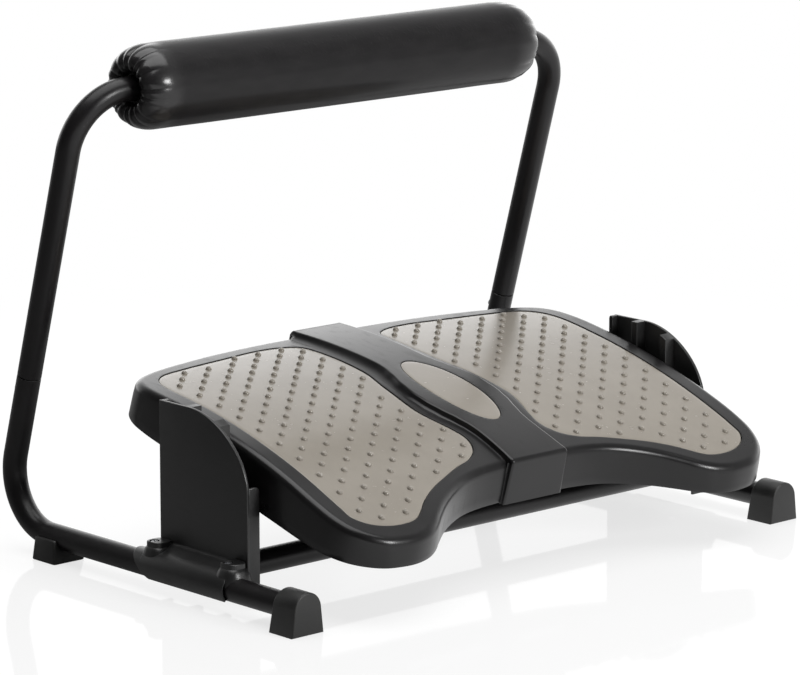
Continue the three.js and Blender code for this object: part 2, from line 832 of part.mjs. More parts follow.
const outlineShares = [
  [0, -0.6579], [0.1395, -0.6608], [0.2537, -0.6743], [0.3383, -0.6994], [0.4228, -0.7485],
  [0.5011, -0.8129], [0.5624, -0.8772], [0.6173, -0.938], [0.6681, -0.9766], [0.7357, -1],
  [0.8034, -0.9977], [0.8626, -0.9801], [0.9175, -0.9357], [0.9619, -0.8684], [0.9903, -0.7719],
  [1, -0.655], [1, -0.3626], [1, 0.2769], [1, 0.5662], [0.9886, 0.6831],
  [0.9611, 0.7662], [0.9175, 0.8215], [0.8626, 0.8591], [0.7949, 0.8898], [0.685, 0.9243],
  [0.5497, 0.9588], [0.4144, 0.9809], [0.2537, 0.9957], [0, 1],
];
const padShares = [
  [0.2197, -0.1161], [0.2068, -0.2129], [0.1821, -0.3291], [0.1732, -0.4162], [0.1989, -0.5042],
  [0.2533, -0.5642], [0.3384, -0.6049], [0.4225, -0.6543], [0.5076, -0.7085], [0.5917, -0.781],
  [0.6431, -0.8401], [0.6827, -0.8759], [0.7322, -0.8904], [0.8014, -0.8856], [0.8707, -0.8498],
  [0.9123, -0.7859], [0.9172, -0.7114], [0.9172, -0.3484], [0.9172, 0.2954], [0.9172, 0.6026],
  [0.8954, 0.6991], [0.846, 0.767], [0.7183, 0.8103], [0.5076, 0.8527], [0.3592, 0.8793],
  [0.2533, 0.8665], [0.188, 0.8172], [0.1732, 0.7247], [0.1732, 0.3407], [0.1979, 0.1674],
];
const loopStepsEach = 2;
const treadWall = 3;
const treadThickness = 5.5;
const treadBevel = 5;
const padSink = 1.2;
const padThickness = 2;
const seamHalfGap = 0.2;
const axleRadius = 6;
const axleRibShares = [0.26, 0.62];
const axleRibThickness = 4;
const axleRibHalfLength = 32;
const axleRibBelow = 5;
const bridgeBossRadius = 5;
const bridgeBossX = 17;
const bridgeBossShares = { front: -0.4975, rear: 0.6154 };
const bridgeBossYs = {
  front: bridgeBossShares.front * treadFrontReach,
  rear: bridgeBossShares.rear * treadRearReach,
};
const treadLoop = smoothLoop(bothSides(treadSpots(outlineShares)), loopStepsEach);
const padLoop = smoothLoop(treadSpots(padShares), loopStepsEach);

function eachBridgeBoss(make) {
  return Object.values(bridgeBossYs).flatMap((y) => [make(bridgeBossX, y), make(-bridgeBossX, y)]);
}

// One half of the tread: a skirted moulding with ribs that carry it on the axle.
function treadHalf() {
  const above = crownRise + overrun;
  const hollowLoop = offsetLoop(treadLoop.filter((spot, index) => index % 2 === 0), -treadWall);
  const hollow = common(
    skirtPrism(hollowLoop, skirtBottom - overrun, above),
    belowCrown(-treadThickness),
  );
  const whole = common(skirtPrism(treadLoop, skirtBottom, above), belowCrown(0));
  const ribs = axleRibShares.map((placeShare) => {
    const x = placeShare * treadHalfWidth;
    const low = -axleRadius - axleRibBelow;
    const rib = block(x, x + axleRibThickness, -axleRibHalfLength, axleRibHalfLength, low, above);
    return common(rib, belowCrown(-treadThickness / 2));
  });
  const recess = cut(
    alongZ(offsetLoop(padLoop, fitGap), skirtBottom, above),
    belowCrown(-padSink - padThickness - fitGap),
  );
  const bossRoom = eachBridgeBoss((x, y) => {
    const room = holeAlong(axisZ, bridgeBossRadius + fitGap, boreSides, -2 * treadThickness, treadThickness);
    return onCrown(room, x, y, 0);
  });
  return cut(
    join(cut(whole, bevelCutter(treadLoop, treadBevel, 0, treadBevel), hollow), ...ribs),
    recess,
    ...bossRoom,
    holeAlong(axisX, axleRadius + fitGap, tubeSides, 0, frameSpan),
    block(-frameSpan, seamHalfGap, -frameSpan, frameSpan, -frameSpan, frameSpan),
  );
}

// Pads with massage nubs on a staggered lattice.
const nubColumnPitch = 12.7;
const nubRowPitch = 12.63;
const nubFirstColumn = 13.2;
const nubFirstRow = 0.2;
const nubRadius = 2.6;
const nubRise = 1.9;
const nubSeat = 0.3;
const nubRoot = 1.2;
const nubSides = 5;
const nubMargin = 7.5;

function inside(loop, spot) {
  let within = false;
  loop.forEach((corner, index) => {
    const other = loop.at(index - 1);
    if (corner.y > spot.y === other.y > spot.y) return;
    const crossing = THREE.MathUtils.mapLinear(spot.y, other.y, corner.y, other.x, corner.x);
    if (spot.x < crossing) within = !within;
  });
  return within;
}

function nubPlaces() {
  const limit = offsetLoop(padLoop, -nubMargin);
  const places = [];
  const rows = Math.ceil(Math.max(treadFrontReach, treadRearReach) / nubRowPitch);
  const columns = Math.ceil(treadHalfWidth / nubColumnPitch);
  for (let row = -rows; row <= rows; row += 1) {
    const arc = nubFirstRow + row * nubRowPitch;
    const y = crownRadius * Math.sin(arc / crownRadius) - crownApexSetback;
    for (let column = 0; column <= columns; column += 1) {
      const spot = new THREE.Vector2(nubFirstColumn + column * nubColumnPitch, y);
      if ((row + column) % 2 !== 0 && inside(limit, spot)) places.push(spot);
    }
  }
  return places;
}

function footPad() {
  const sheet = common(alongZ(padLoop, skirtBottom, crownRise + overrun), belowCrown(-padSink));
  const nubs = nubPlaces().map((spot) => {
    const nub = turned(spots([0, -nubRoot], [nubRadius, -nubSeat], [0, nubRise]), nubSides);
    return onCrown(nub, spot.x, spot.y, -padSink);
  });
  return join(cut(sheet, belowCrown(-padSink - padThickness)), mergeGeometries(nubs));
}

// Centre bridge: a raised strap over the joint of the halves, with a lip down each end.
const strapRise = 5;
const strapSlopeRun = 6;
const strapSlopeDrop = 3.6;
const strapHalfWidth = 26.5;
const strapSwell = 11;
const strapFootSpread = 3;
const lipThickness = 3;
const frontLipBelow = 1.5;
const rearLipBelow = -3;
const lipGap = 0.5;
const swellCentreY = -8;
const swellHalfLength = 58;
const swellSteps = 10;
const ovalLength = 114;
const ovalWidth = 45;
const ovalSides = 24;
const ovalRecess = 1.8;
const ovalSink = 0.4;
const clampPlateThickness = 3;
const clampPlateMargin = 9;
const clampScrewLength = 9;
const frontLipY = outlineShares[0][1] * treadFrontReach - skirtFlare - lipGap;
const rearLipY = treadRearReach + skirtFlare + lipGap;

function bridgeLoop() {
  const edge = strapHalfWidth + strapSlopeRun;
  const half = spots([edge + strapFootSpread / 2, frontLipY - lipThickness]);
  for (let step = 0; step <= swellSteps; step += 1) {
    const place = step / swellSteps;
    const bulge = 0.5 - 0.5 * Math.cos(2 * Math.PI * place);
    const y = swellCentreY + swellHalfLength * (2 * place - 1);
    half.push(new THREE.Vector2(edge + strapSwell * bulge, y));
  }
  half.push(new THREE.Vector2(edge, rearLipY + lipThickness));
  return bothSides(half);
}

function endLip(from, to, low) {
  const middle = (from + to) / 2;
  const top = crownHeight(middle, strapRise - strapSlopeDrop);
  const loop = spots(
    [-strapHalfWidth - strapFootSpread - strapSlopeRun / 2, low],
    [strapHalfWidth + strapFootSpread + strapSlopeRun / 2, low],
    [strapHalfWidth + strapSlopeRun / 2, top],
    [-strapHalfWidth - strapSlopeRun / 2, top],
  );
  return alongY(loop, from, to);
}

function ovalPrism(gap) {
  const loop = roundLoop(1, ovalSides).map((spot) => new THREE.Vector2(
    spot.x * (ovalWidth / 2 + gap),
    spot.y * (ovalLength / 2 + gap) - crownApexSetback,
  ));
  return alongZ(loop, 0, crownRise + 2 * strapRise);
}

function centreBridge() {
  const loop = bridgeLoop();
  const slab = cut(
    common(alongZ(loop, 0, crownRise + 2 * strapRise), belowCrown(strapRise)),
    belowCrown(fitGap),
    bevelCutter(loop, strapSlopeRun, strapRise, strapSlopeDrop),
  );
  const bosses = eachBridgeBoss((x, y) => {
    const boss = barAlong(axisZ, bridgeBossRadius, boreSides, -treadThickness - fitGap, strapRise / 2);
    return onCrown(boss, x, y, 0);
  });
  const pilots = eachBridgeBoss((x, y) => {
    const pilot = holeAlong(axisZ, screwHole, boreSides, -2 * treadThickness, strapRise / 2);
    return onCrown(pilot, x, y, 0);
  });
  return cut(
    join(
      slab,
      endLip(frontLipY - lipThickness, frontLipY, skirtBottom - frontLipBelow),
      endLip(rearLipY, rearLipY + lipThickness, skirtBottom - rearLipBelow),
      ...bosses,
    ),
    cut(ovalPrism(fitGap), belowCrown(strapRise - ovalRecess)),
    ...pilots,
  );
}

function ovalInlay() {
  const top = belowCrown(strapRise - ovalSink);
  return cut(common(ovalPrism(0), top), belowCrown(strapRise - ovalRecess + fitGap));
}

function clampPlate(y) {
  const top = -treadThickness - 2 * fitGap;
  const halfX = bridgeBossX + clampPlateMargin;
  const sheet = cut(belowCrown(top), belowCrown(top - clampPlateThickness));
  const holes = [bridgeBossX, -bridgeBossX].map((x) => {
    const hole = holeAlong(axisZ, screwHole, boreSides, -skirtDrop, 0);
    return onCrown(hole, x, y, 0);
  });
  return cut(
    common(sheet, block(-halfX, halfX, y - clampPlateMargin, y + clampPlateMargin, -skirtDrop, crownRise)),
    ...holes,
  );
}

// Axle: a rod across the tread, and the trunnions that sit in the bracket channels.
const hubRadius = 9;
const hubFaceGap = 2.5;
const axleScrewLength = 12;
const axleScrewSink = 2.7;
const trunnionFace = bracketInnerX - trunnionPlay;
const rodHalf = trunnionFace - axleScrewSink - overrun;

function axleRod() {
  const rod = barAlong(axisX, axleRadius, tubeSides, -rodHalf, rodHalf);
  const endHole = (from, to) => holeAlong(axisX, screwHole, boreSides, from, to);
  const depth = axleScrewLength + fitGap;
  return cut(rod, endHole(rodHalf - depth, rodHalf + overrun), endHole(-rodHalf - overrun, depth - rodHalf));
}

function trunnion() {
  const hubFace = treadHalfWidth + skirtFlare + fitGap;
  const barrelFace = channelFaceX - hubFaceGap;
  const bore = holeRadius(axleRadius + fitGap, tubeSides);
  const boreEnd = rodHalf + fitGap;
  const headRoom = screwHeadRadius + fitGap;
  const profile = spots(
    [bore, hubFace],
    [hubRadius, hubFace],
    [hubRadius, barrelFace],
    [trunnionRadius, barrelFace],
    [trunnionRadius, trunnionFace],
    [headRoom, trunnionFace],
    [headRoom, trunnionFace - axleScrewSink],
    [screwHole, trunnionFace - axleScrewSink],
    [screwHole, boreEnd],
    [bore, boreEnd],
    [bore, hubFace],
  );
  return turned(profile, tubeSides).rotateY(Math.PI / 2);
}

function axleScrew(name, side) {
  const mesh = piece(name, screw(axleScrewLength), zincSteel);
  mesh.position.x = side * (trunnionFace - axleScrewSink);
  mesh.rotation.y = (side * Math.PI) / 2;
  return mesh;
}

// Assembly
const frame = new THREE.Group();
pair(frame, 'base_tube', baseTube(), tubePaint);
frame.add(piece('cross_tube', crossTube(), tubePaint));
pair(frame, 'side_bracket', sideBracket(), mouldedBlack);
pair(frame, 'front_foot', frontFoot(), rubberBlack);
pair(frame, 'rear_foot', rearFoot(), rubberBlack);

const bossFloor = bossTop - bossRecessDepth;
const socketLow = crossTubeZ - tubeRadius - fitGap - socketWall;
const screwPlaces = {
  frontBoss: new THREE.Vector3(sideTubeX, bossFrontY, bossFloor),
  rearBoss: new THREE.Vector3(sideTubeX, bossRearY, bossFloor),
  foot: new THREE.Vector3(sideTubeX, rearFootFloorFront + rearFootFloorLength / 2, rearFootPlug),
  socket: new THREE.Vector3(bracketInnerX - socketScrewInset, crossTubeY, socketLow),
};
drivenPair(frame, 'front_bracket_screw', bracketScrewLength, screwPlaces.frontBoss);
drivenPair(frame, 'rear_bracket_screw', bracketScrewLength, screwPlaces.rearBoss);
drivenPair(frame, 'foot_screw', rearFootScrewLength, screwPlaces.foot, Math.PI);
drivenPair(frame, 'cross_tube_screw', socketScrewLength, screwPlaces.socket, Math.PI);

const uprights = new THREE.Group();
uprights.position.set(0, tubeRearReach, sideTubeZ);
uprights.rotation.x = uprightLean;
uprights.add(piece('upper_bar', upperBar(), tubePaint));
pair(uprights, 'coupler', coupler(), zincSteel);
const couplerScrewPlace = new THREE.Vector3(sideTubeX, tubeRadius, seamHeight - couplerScrewDrop);
drivenPair(uprights, 'coupler_screw', couplerScrewLength, couplerScrewPlace, -Math.PI / 2);

const roller = new THREE.Group();
roller.position.z = uprightLength;
roller.add(piece('roller_cover', rollerCover(), vinylBlack));
roller.add(piece('roller_foam', rollerFoam(), foamGrey));
pair(roller, 'draw_cord', drawCord(), rubberBlack);
uprights.add(roller);
frame.add(uprights);

const tread = new THREE.Group();
tread.rotation.x = THREE.MathUtils.degToRad(treadTiltDegrees);
pair(tread, 'tread_half', treadHalf(), mouldedBlack);
pair(tread, 'foot_pad', footPad(), padGrey);
tread.add(piece('centre_bridge', centreBridge(), mouldedBlack));
tread.add(piece('oval_inlay', ovalInlay(), padGrey));
Object.entries(bridgeBossYs).forEach(([end, y]) => {
  tread.add(piece(`${end}_clamp_plate`, clampPlate(y), zincSteel));
  const slope = crownSlope(y);
  const under = -treadThickness - 3 * fitGap - clampPlateThickness;
  const z = crownHeight(y, 0) + under * Math.cos(slope);
  const place = new THREE.Vector3(bridgeBossX, y + under * Math.sin(slope), z);
  drivenPair(tread, `${end}_clamp_screw`, clampScrewLength, place, Math.PI - slope);
});

const axle = new THREE.Group();
axle.position.z = axleHeight;
axle.add(piece('axle_rod', axleRod(), zincSteel));
pair(axle, 'trunnion', trunnion(), mouldedBlack);
axle.add(axleScrew('right_axle_screw', 1), axleScrew('left_axle_screw', -1), tread);

// The origin is on the floor, under the middle of the whole part.
const footrest = new THREE.Group();
footrest.add(frame, axle);
const outline = new THREE.Box3().setFromObject(footrest, true);
footrest.position.y = -(outline.min.y + outline.max.y) / 2;

export default footrest;
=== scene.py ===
# Tilting under desk footrest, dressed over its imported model: a bent tube frame with a padded roller, and a
# nubbed tread that rocks on an axle. Sizes are in millimetres and turned into metres as each mesh is made.

import math
import random

import bmesh
import bpy
from mathutils import Matrix, Vector


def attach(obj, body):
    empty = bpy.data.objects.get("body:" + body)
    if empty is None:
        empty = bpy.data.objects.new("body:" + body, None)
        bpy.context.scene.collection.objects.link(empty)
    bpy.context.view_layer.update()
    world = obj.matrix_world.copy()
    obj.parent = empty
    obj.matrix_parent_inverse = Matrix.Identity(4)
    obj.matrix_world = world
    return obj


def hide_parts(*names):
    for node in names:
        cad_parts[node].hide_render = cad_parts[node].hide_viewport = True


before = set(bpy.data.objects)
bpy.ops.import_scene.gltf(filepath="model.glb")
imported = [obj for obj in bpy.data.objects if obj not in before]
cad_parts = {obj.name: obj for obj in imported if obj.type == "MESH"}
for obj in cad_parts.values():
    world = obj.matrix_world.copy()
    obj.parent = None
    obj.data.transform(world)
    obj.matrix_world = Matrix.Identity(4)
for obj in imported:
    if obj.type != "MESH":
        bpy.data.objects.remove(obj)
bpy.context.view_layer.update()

# Lower tubes: cold drawn steel tube with a satin black powder coat. Each runs along the floor from its front
# cap, passes through the side bracket's sleeve and is bent once, up into the lower half of an upright.
tube_radius = 10.0
tube_sides = 72
side_tube_x = 265.5
side_tube_z = 19.0
tube_front_y = -172.567
tube_rear_y = 208.227
lower_bend_radius = 46.7
upright_lean = math.radians(16.28)
seam_height = 133.9
seam_gap = 0.5
tube_end_edge = 0.5
bend_steps = 40
both_sides = (("right", 1), ("left", -1))


class Reading:
    """One output of a shader node. Arithmetic on readings adds Math nodes."""

    def __init__(self, shading, socket):
        self.shading = shading
        self.socket = socket

    def maths(self, operation, first, second):
        return self.shading.node("ShaderNodeMath", {"operation": operation}, {0: first, 1: second})

    def __add__(self, other):
        return self.maths("ADD", self, other)

    def __radd__(self, other):
        return self.maths("ADD", other, self)

    def __sub__(self, other):
        return self.maths("SUBTRACT", self, other)

    def __rsub__(self, other):
        return self.maths("SUBTRACT", other, self)

    def __mul__(self, other):
        return self.maths("MULTIPLY", self, other)

    def __rmul__(self, other):
        return self.maths("MULTIPLY", other, self)

    def between(self, low, high):
        """0 below low, 1 above high, and a smooth step from one to the other."""
        ends = {"From Min": low, "From Max": high, "To Min": 0.0, "To Max": 1.0}
        settings = {"interpolation_type": "SMOOTHSTEP"}
        return self.shading.node("ShaderNodeMapRange", settings, {"Value": self, **ends})


class Shading:
    """A shader node tree. Values and readings go into its sockets alike."""

    def __init__(self, owner):
        owner.use_nodes = True
        self.tree = owner.node_tree

    def join(self, socket, value):
        if isinstance(value, Reading):
            self.tree.links.new(value.socket, socket)
        else:
            socket.default_value = value

    def node(self, kind, settings, sockets, output=0):
        node = self.tree.nodes.new(kind)
        for label, value in settings.items():
            setattr(node, label, value)
        for label, value in sockets.items():
            self.join(node.inputs[label], value)
        return Reading(self, node.outputs[output])

    def part(self, vector, axis):
        """The X, Y or Z of a vector."""
        return self.node("ShaderNodeSeparateXYZ", {}, {"Vector": vector}, axis)


class Finish(Shading):
    """A material with one Principled shader, read in object coordinates."""

    def __init__(self, name, colour, roughness, **fixed):
        self.material = bpy.data.materials.new(name)
        super().__init__(self.material)
        self.material.diffuse_color = (*colour, 1)
        self.shader = self.tree.nodes["Principled BSDF"]
        self.feed("Base Color", (*colour, 1))
        self.feed("Roughness", roughness)
        for label, value in fixed.items():
            self.feed(label.replace("_", " "), value)
        self.place = self.node("ShaderNodeTexCoord", {}, {}, "Object")

    def feed(self, label, value):
        self.join(self.shader.inputs[label], value)

    def noise(self, grain, detail=2.0, place=None):
        """Noise with grains of about that many millimetres."""
        sockets = {"Vector": place or self.place, "Scale": 1000.0 / grain, "Detail": detail}
        return self.node("ShaderNodeTexNoise", {}, sockets)

    def stretched(self, across, along, up):
        """Object coordinates scaled by a factor on each axis."""
        return self.node("ShaderNodeMapping", {}, {"Vector": self.place, "Scale": (across, along, up)})

    def paint(self, share, start, end):
        """Base colour from start to end by share."""
        node = self.tree.nodes.new("ShaderNodeMix")
        node.data_type = "RGBA"
        colours = {socket.name: socket for socket in node.inputs if socket.type == "RGBA"}
        self.join(node.inputs["Factor"], share)
        self.join(colours["A"], (*start, 1))
        self.join(colours["B"], (*end, 1))
        result = next(socket for socket in node.outputs if socket.type == "RGBA")
        self.feed("Base Color", Reading(self, result))

    def relief(self, height, depth):
        """Bump of that many millimetres for a height from 0 to 1."""
        sockets = {"Strength": 1.0, "Distance": depth / 1000, "Height": height}
        self.feed("Normal", self.node("ShaderNodeBump", {}, sockets))


class Recipe:
    """A Geometry Nodes tree with named inputs, run once on a start mesh whose place in the model it keeps."""

    def __init__(self, name, inputs):
        self.tree = bpy.data.node_groups.new(name, "GeometryNodeTree")
        face = self.tree.interface
        face.new_socket("Start", in_out="INPUT", socket_type="NodeSocketGeometry")
        self.inputs = {}
        for label, kind in inputs.items():
            self.inputs[label] = face.new_socket(label, in_out="INPUT", socket_type=kind).identifier
        face.new_socket("Made", in_out="OUTPUT", socket_type="NodeSocketGeometry")
        self.given = self.tree.nodes.new("NodeGroupInput").outputs
        self.made = self.tree.nodes.new("NodeGroupOutput").inputs

    def node(self, kind, settings, sockets, output=0):
        node = self.tree.nodes.new(kind)
        for label, value in settings.items():
            setattr(node, label, value)
        for label, value in sockets.items():
            if isinstance(value, bpy.types.NodeSocket):
                self.tree.links.new(value, node.inputs[label])
            else:
                node.inputs[label].default_value = value
        return node.outputs[output]

    def close(self, geometry):
        real = self.node("GeometryNodeRealizeInstances", {}, {"Geometry": geometry})
        sockets = {"Geometry": real, "Material": self.given["Finish"]}
        self.tree.links.new(self.node("GeometryNodeSetMaterial", {}, sockets), self.made["Made"])

    def run(self, name, start, values, crease):
        holder = bpy.data.objects.new(name + "_start", start)
        bpy.context.collection.objects.link(holder)
        modifier = holder.modifiers.new("recipe", "NODES")
        modifier.node_group = self.tree
        for label, value in values.items():
            modifier[self.inputs[label]] = value
        graph = bpy.context.evaluated_depsgraph_get()
        mesh = bpy.data.meshes.new_from_object(holder.evaluated_get(graph))
        holder.modifiers.remove(modifier)
        bpy.data.objects.remove(holder)
        form = bmesh.new()
        form.from_mesh(mesh)
        bmesh.ops.recalc_face_normals(form, faces=form.faces)
        form.to_mesh(mesh)
        form.free()
        mesh.shade_smooth()
        mesh.set_sharp_from_angle(angle=math.radians(crease))
        made = bpy.data.objects.new(name, mesh)
        bpy.context.collection.objects.link(made)
        return made


def bent_route(corners, radius, steps):
    """Points along straight runs and round bends between corners, in millimetres."""
    points = [corners[0]]
    for before, corner, after in zip(corners, corners[1:], corners[2:]):
        way_in = (corner - before).normalized()
        way_out = (after - corner).normalized()
        turn = way_in.angle(way_out)
        axis = way_in.cross(way_out).normalized()
        start = corner - way_in * radius * math.tan(turn / 2)
        centre = start + axis.cross(way_in) * radius
        for step in range(steps + 1):
            points.append(centre + Matrix.Rotation(turn * step / steps, 3, axis) @ (start - centre))
    points.append(corners[-1])
    return points


def route_mesh(name, points):
    """A line of edges, in metres, with a girth at each point that narrows at both ends."""
    ends = [points[0] + (points[1] - points[0]).normalized() * tube_end_edge,
            points[-1] + (points[-2] - points[-1]).normalized() * tube_end_edge]
    line = [points[0], ends[0], *points[1:-1], ends[1], points[-1]]
    mesh = bpy.data.meshes.new(name)
    mesh.from_pydata([p / 1000 for p in line], [(i, i + 1) for i in range(len(line) - 1)], [])
    girth = mesh.attributes.new("girth", "FLOAT", "POINT")
    narrow = 1 - tube_end_edge / tube_radius
    girth.data.foreach_set("value", [narrow, *[1.0] * (len(line) - 2), narrow])
    return mesh


tube_recipe = Recipe("tube_along_route", {
    "Tube radius": "NodeSocketFloat", "Sides": "NodeSocketInt", "Finish": "NodeSocketMaterial"})
given = tube_recipe.given
ring = tube_recipe.node("GeometryNodeCurvePrimitiveCircle", {}, {
    "Resolution": given["Sides"], "Radius": given["Tube radius"]})
girth = tube_recipe.node("GeometryNodeInputNamedAttribute", {"data_type": "FLOAT"}, {"Name": "girth"})
line = tube_recipe.node("GeometryNodeMeshToCurve", {}, {"Mesh": given["Start"]})
tube_recipe.close(tube_recipe.node("GeometryNodeCurveToMesh", {}, {
    "Curve": line, "Profile Curve": ring, "Scale": girth, "Fill Caps": True}))

powder_coat = Finish("satin_black_powder_coat", (0.007, 0.0062, 0.0068), 0.34, Specular_IOR_Level=0.36)
mottle = powder_coat.noise(60, 3.0)
peel = powder_coat.noise(1.4, 2.0)
handled = powder_coat.noise(14, 4.0).between(0.45, 0.75)
powder_coat.paint(mottle.between(0.3, 0.7), (0.0048, 0.0042, 0.0047), (0.0082, 0.0072, 0.0078))
powder_coat.feed("Roughness", 0.30 + 0.07 * mottle + 0.06 * handled)
powder_coat.relief(peel, 0.035)


def tube_piece(name, points, finish):
    values = {"Tube radius": tube_radius / 1000, "Sides": tube_sides, "Finish": finish.material}
    return tube_recipe.run(name, route_mesh(name, points), values, 40)


rear_corner = Vector((side_tube_x, tube_rear_y, side_tube_z))
up_the_lean = Vector((0, -math.sin(upright_lean), math.cos(upright_lean)))
for side, sign in both_sides:
    across = Vector((sign, 1, 1))
    route = [Vector((side_tube_x, tube_front_y, side_tube_z)), rear_corner,
             rear_corner + up_the_lean * (seam_height - seam_gap / 2)]
    lower_tube = tube_piece(f"{side}_lower_tube", bent_route([p * across for p in route], lower_bend_radius,
                                                              bend_steps), powder_coat)
    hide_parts(f"{side}_base_tube")
    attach(lower_tube, "frame")

# Upper bar: one tube of the same stock bent twice into a U, which makes the upper half of both uprights and
# the crossbar between them. Its legs slip over the couplers down to a hairline seam.
upright_length = 382.5
upper_bend_radius = 48.8
lean_turn = Matrix.Rotation(upright_lean, 3, "X")


def in_uprights(x, y, z):
    """From the plane of the uprights, with z along them, to the model's frame."""
    return lean_turn @ Vector((x, y, z)) + Vector((0, tube_rear_y, side_tube_z))


leg_foot = seam_height + seam_gap / 2
bar_route = [in_uprights(-side_tube_x, 0, leg_foot), in_uprights(-side_tube_x, 0, upright_length),
             in_uprights(side_tube_x, 0, upright_length), in_uprights(side_tube_x, 0, leg_foot)]
upper_tube = tube_piece("upper_tube", bent_route(bar_route, upper_bend_radius, bend_steps), powder_coat)
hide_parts("upper_bar")
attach(upper_tube, "frame")

# Cross tube: a straight length of the same tube, level above the floor, whose ends sit in the brackets'
# sockets and keep the two sides square to each other.
cross_tube_half = 251.7
cross_tube_y = -63.273
cross_tube_z = 28.8
cross_route = [Vector((sign * cross_tube_half, cross_tube_y, cross_tube_z)) for sign in (-1, 1)]
low_tube = tube_piece("low_cross_tube", cross_route, powder_coat)
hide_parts("cross_tube")
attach(low_tube, "frame")

# Side brackets: injection moulded black plastic. A flat plate with a rounded crest stands inboard of the tube,
# with two flanges and two ribs that make three open topped channels, each with a seat for the axle. Outboard,
# a half sleeve with two screw bosses grips the tube, and a hollow web carries it up to the plate.
plate_inner_x = 252.0
plate_outer_x = 255.0
root_x = plate_inner_x + 1.0
channel_face_x = 242.0
bracket_front_y = -91.573
bracket_rear_y = 15.927
bracket_low = 12.0
bracket_top = 151.5
crest_front_y = -19.973
shoulder_height = 92.0
crest_handle_share = 0.5
wall = 3.0
moulded_edge = 0.7
seat_radius = 13.3
seat_floor = 4.0
seat_cheek = 3.325
seat_edge = 0.5
seat_overlap = 1.0
seats = {"front": (-88.573, -56.373, -72.473, 81.86),
         "middle": (-49.373, -21.773, -35.573, 101.86),
         "rear": (-14.773, 12.927, -0.923, 121.86)}
rib_ys = (-52.873, -18.273)
rib_width = 7.0
rear_flange_width = 4.4
sleeve_outer = 12.5
sleeve_inner = 10.15
sleeve_wrap = 45
sleeve_front_y = -87.573
sleeve_rear_low_y = -1.567
sleeve_rear_high_y = 38.433
sleeve_edge = 0.95
web_top = 19.6
boss_top = 39.6
boss_ys = (-81.073, 10.427)
boss_middle_x = 262.2
boss_lead = 1.8
boss_wall = 4.2
boss_skirt = ((0.4, 0.5), (1.2, 1.3), (3.0, 2.3), (6.0, 3.5), (10.0, 4.4), (15.0, 4.9))
boss_half_width = 8.6
boss_half_length = 8.7
boss_power = 3.2
boss_sides = 64
boss_edge = 1.0
boss_recess_radius = 4.1
boss_recess_depth = 2.6
flange_top = 98.0
flange_corner = 4.0
rear_flange_inner_x = 245.5
rear_flange_corner = 2.0
socket_inner_x = 240.0
socket_radius = 13.0
socket_gap_turn = 7.5


class Shell:
    """Corners and faces of a piece in millimetres, gathered from one or more closed bodies."""

    def __init__(self):
        self.corners = []
        self.faces = []

    def loft(self, rings, closed=False):
        """Joins each ring of corners to the next, and closes the two ends, or the last ring to the first."""
        first = len(self.corners)
        around = len(rings[0])
        for ring in rings:
            self.corners.extend(ring)
        spans = len(rings) if closed else len(rings) - 1
        for span in range(spans):
            low = first + span * around
            high = first + ((span + 1) % len(rings)) * around
            for step in range(around):
                beside = (step + 1) % around
                self.faces.append((low + step, low + beside, high + beside, high + step))
        if not closed:
            self.faces.append(tuple(range(first + around - 1, first - 1, -1)))
            top = first + (len(rings) - 1) * around
            self.faces.append(tuple(range(top, top + around)))

    def made(self, name, finish, crease=35, sign=1):
        """The finished object, mirrored to the left side where sign is -1, with its faces outward."""
        mesh = bpy.data.meshes.new(name)
        mesh.from_pydata([(sign * x / 1000, y / 1000, z / 1000) for x, y, z in self.corners], [], self.faces)
        form = bmesh.new()
        form.from_mesh(mesh)
        bmesh.ops.remove_doubles(form, verts=form.verts, dist=1e-7)
        bmesh.ops.recalc_face_normals(form, faces=form.faces)
        form.to_mesh(mesh)
        form.free()
        mesh.shade_smooth()
        mesh.set_sharp_from_angle(angle=math.radians(crease))
        mesh.materials.append(finish.material)
        made = bpy.data.objects.new(name, mesh)
        bpy.context.collection.objects.link(made)
        return made


def inset(loop, distance):
    """The closed flat loop moved inwards by distance, where it runs anticlockwise."""
    moved = []
    for before, here, after in zip(loop[-1:] + loop[:-1], loop, loop[1:] + loop[:1]):
        way_in = (here - before).normalized()
        way_out = (after - here).normalized()
        along = (way_in + way_out).normalized()
        lean = max(abs(along.dot(way_out)), 0.35)
        moved.append(here + Vector((-along.y, along.x)) * (distance / lean))
    return moved


def area(loop):
    return sum(a.x * b.y - b.x * a.y for a, b in zip(loop, loop[1:] + loop[:1])) / 2


def quarter_round(steps):
    """Shares of a rounded edge's radius at even steps: how much is left across, and how much is done along."""
    turns = [math.pi / 2 * step / steps for step in range(steps + 1)]
    return [(1 - math.sin(turn), 1 - math.cos(turn)) for turn in turns]


def round_turns(count):
    """The angles of that many even steps round a circle."""
    return [2 * math.pi * step / count for step in range(count)]


def slab_rings(loop, low, high, edge, place, steps=3):
    """Rings of a plate of that outline from low to high with rounded edges. low and high may be functions of a
    corner, and place turns (first, second, height) into the model's frame."""
    if area(loop) < 0:
        loop = loop[::-1]
    bottom = low if callable(low) else lambda spot: low
    top = high if callable(high) else lambda spot: high
    lower, upper = [], []
    for across, along in quarter_round(steps):
        drawn = inset(loop, edge * across)
        lower.append([place(spot.x, spot.y, bottom(here) + edge * along) for spot, here in zip(drawn, loop)])
        upper.append([place(spot.x, spot.y, top(here) - edge * along) for spot, here in zip(drawn, loop)])
    return lower + upper[::-1]


def along_x(first, second, height):
    return Vector((height, first, second))


def along_y(first, second, height):
    return Vector((first, height, second))


def spots(*pairs):
    return [Vector(pair) for pair in pairs]


def arc(centre, radius, start, end, steps):
    """Points of an arc in degrees, both ends included."""
    turns = [math.radians(start + (end - start) * step / steps) for step in range(steps + 1)]
    return [Vector((centre[0] + radius * math.cos(turn), centre[1] + radius * math.sin(turn))) for turn in turns]


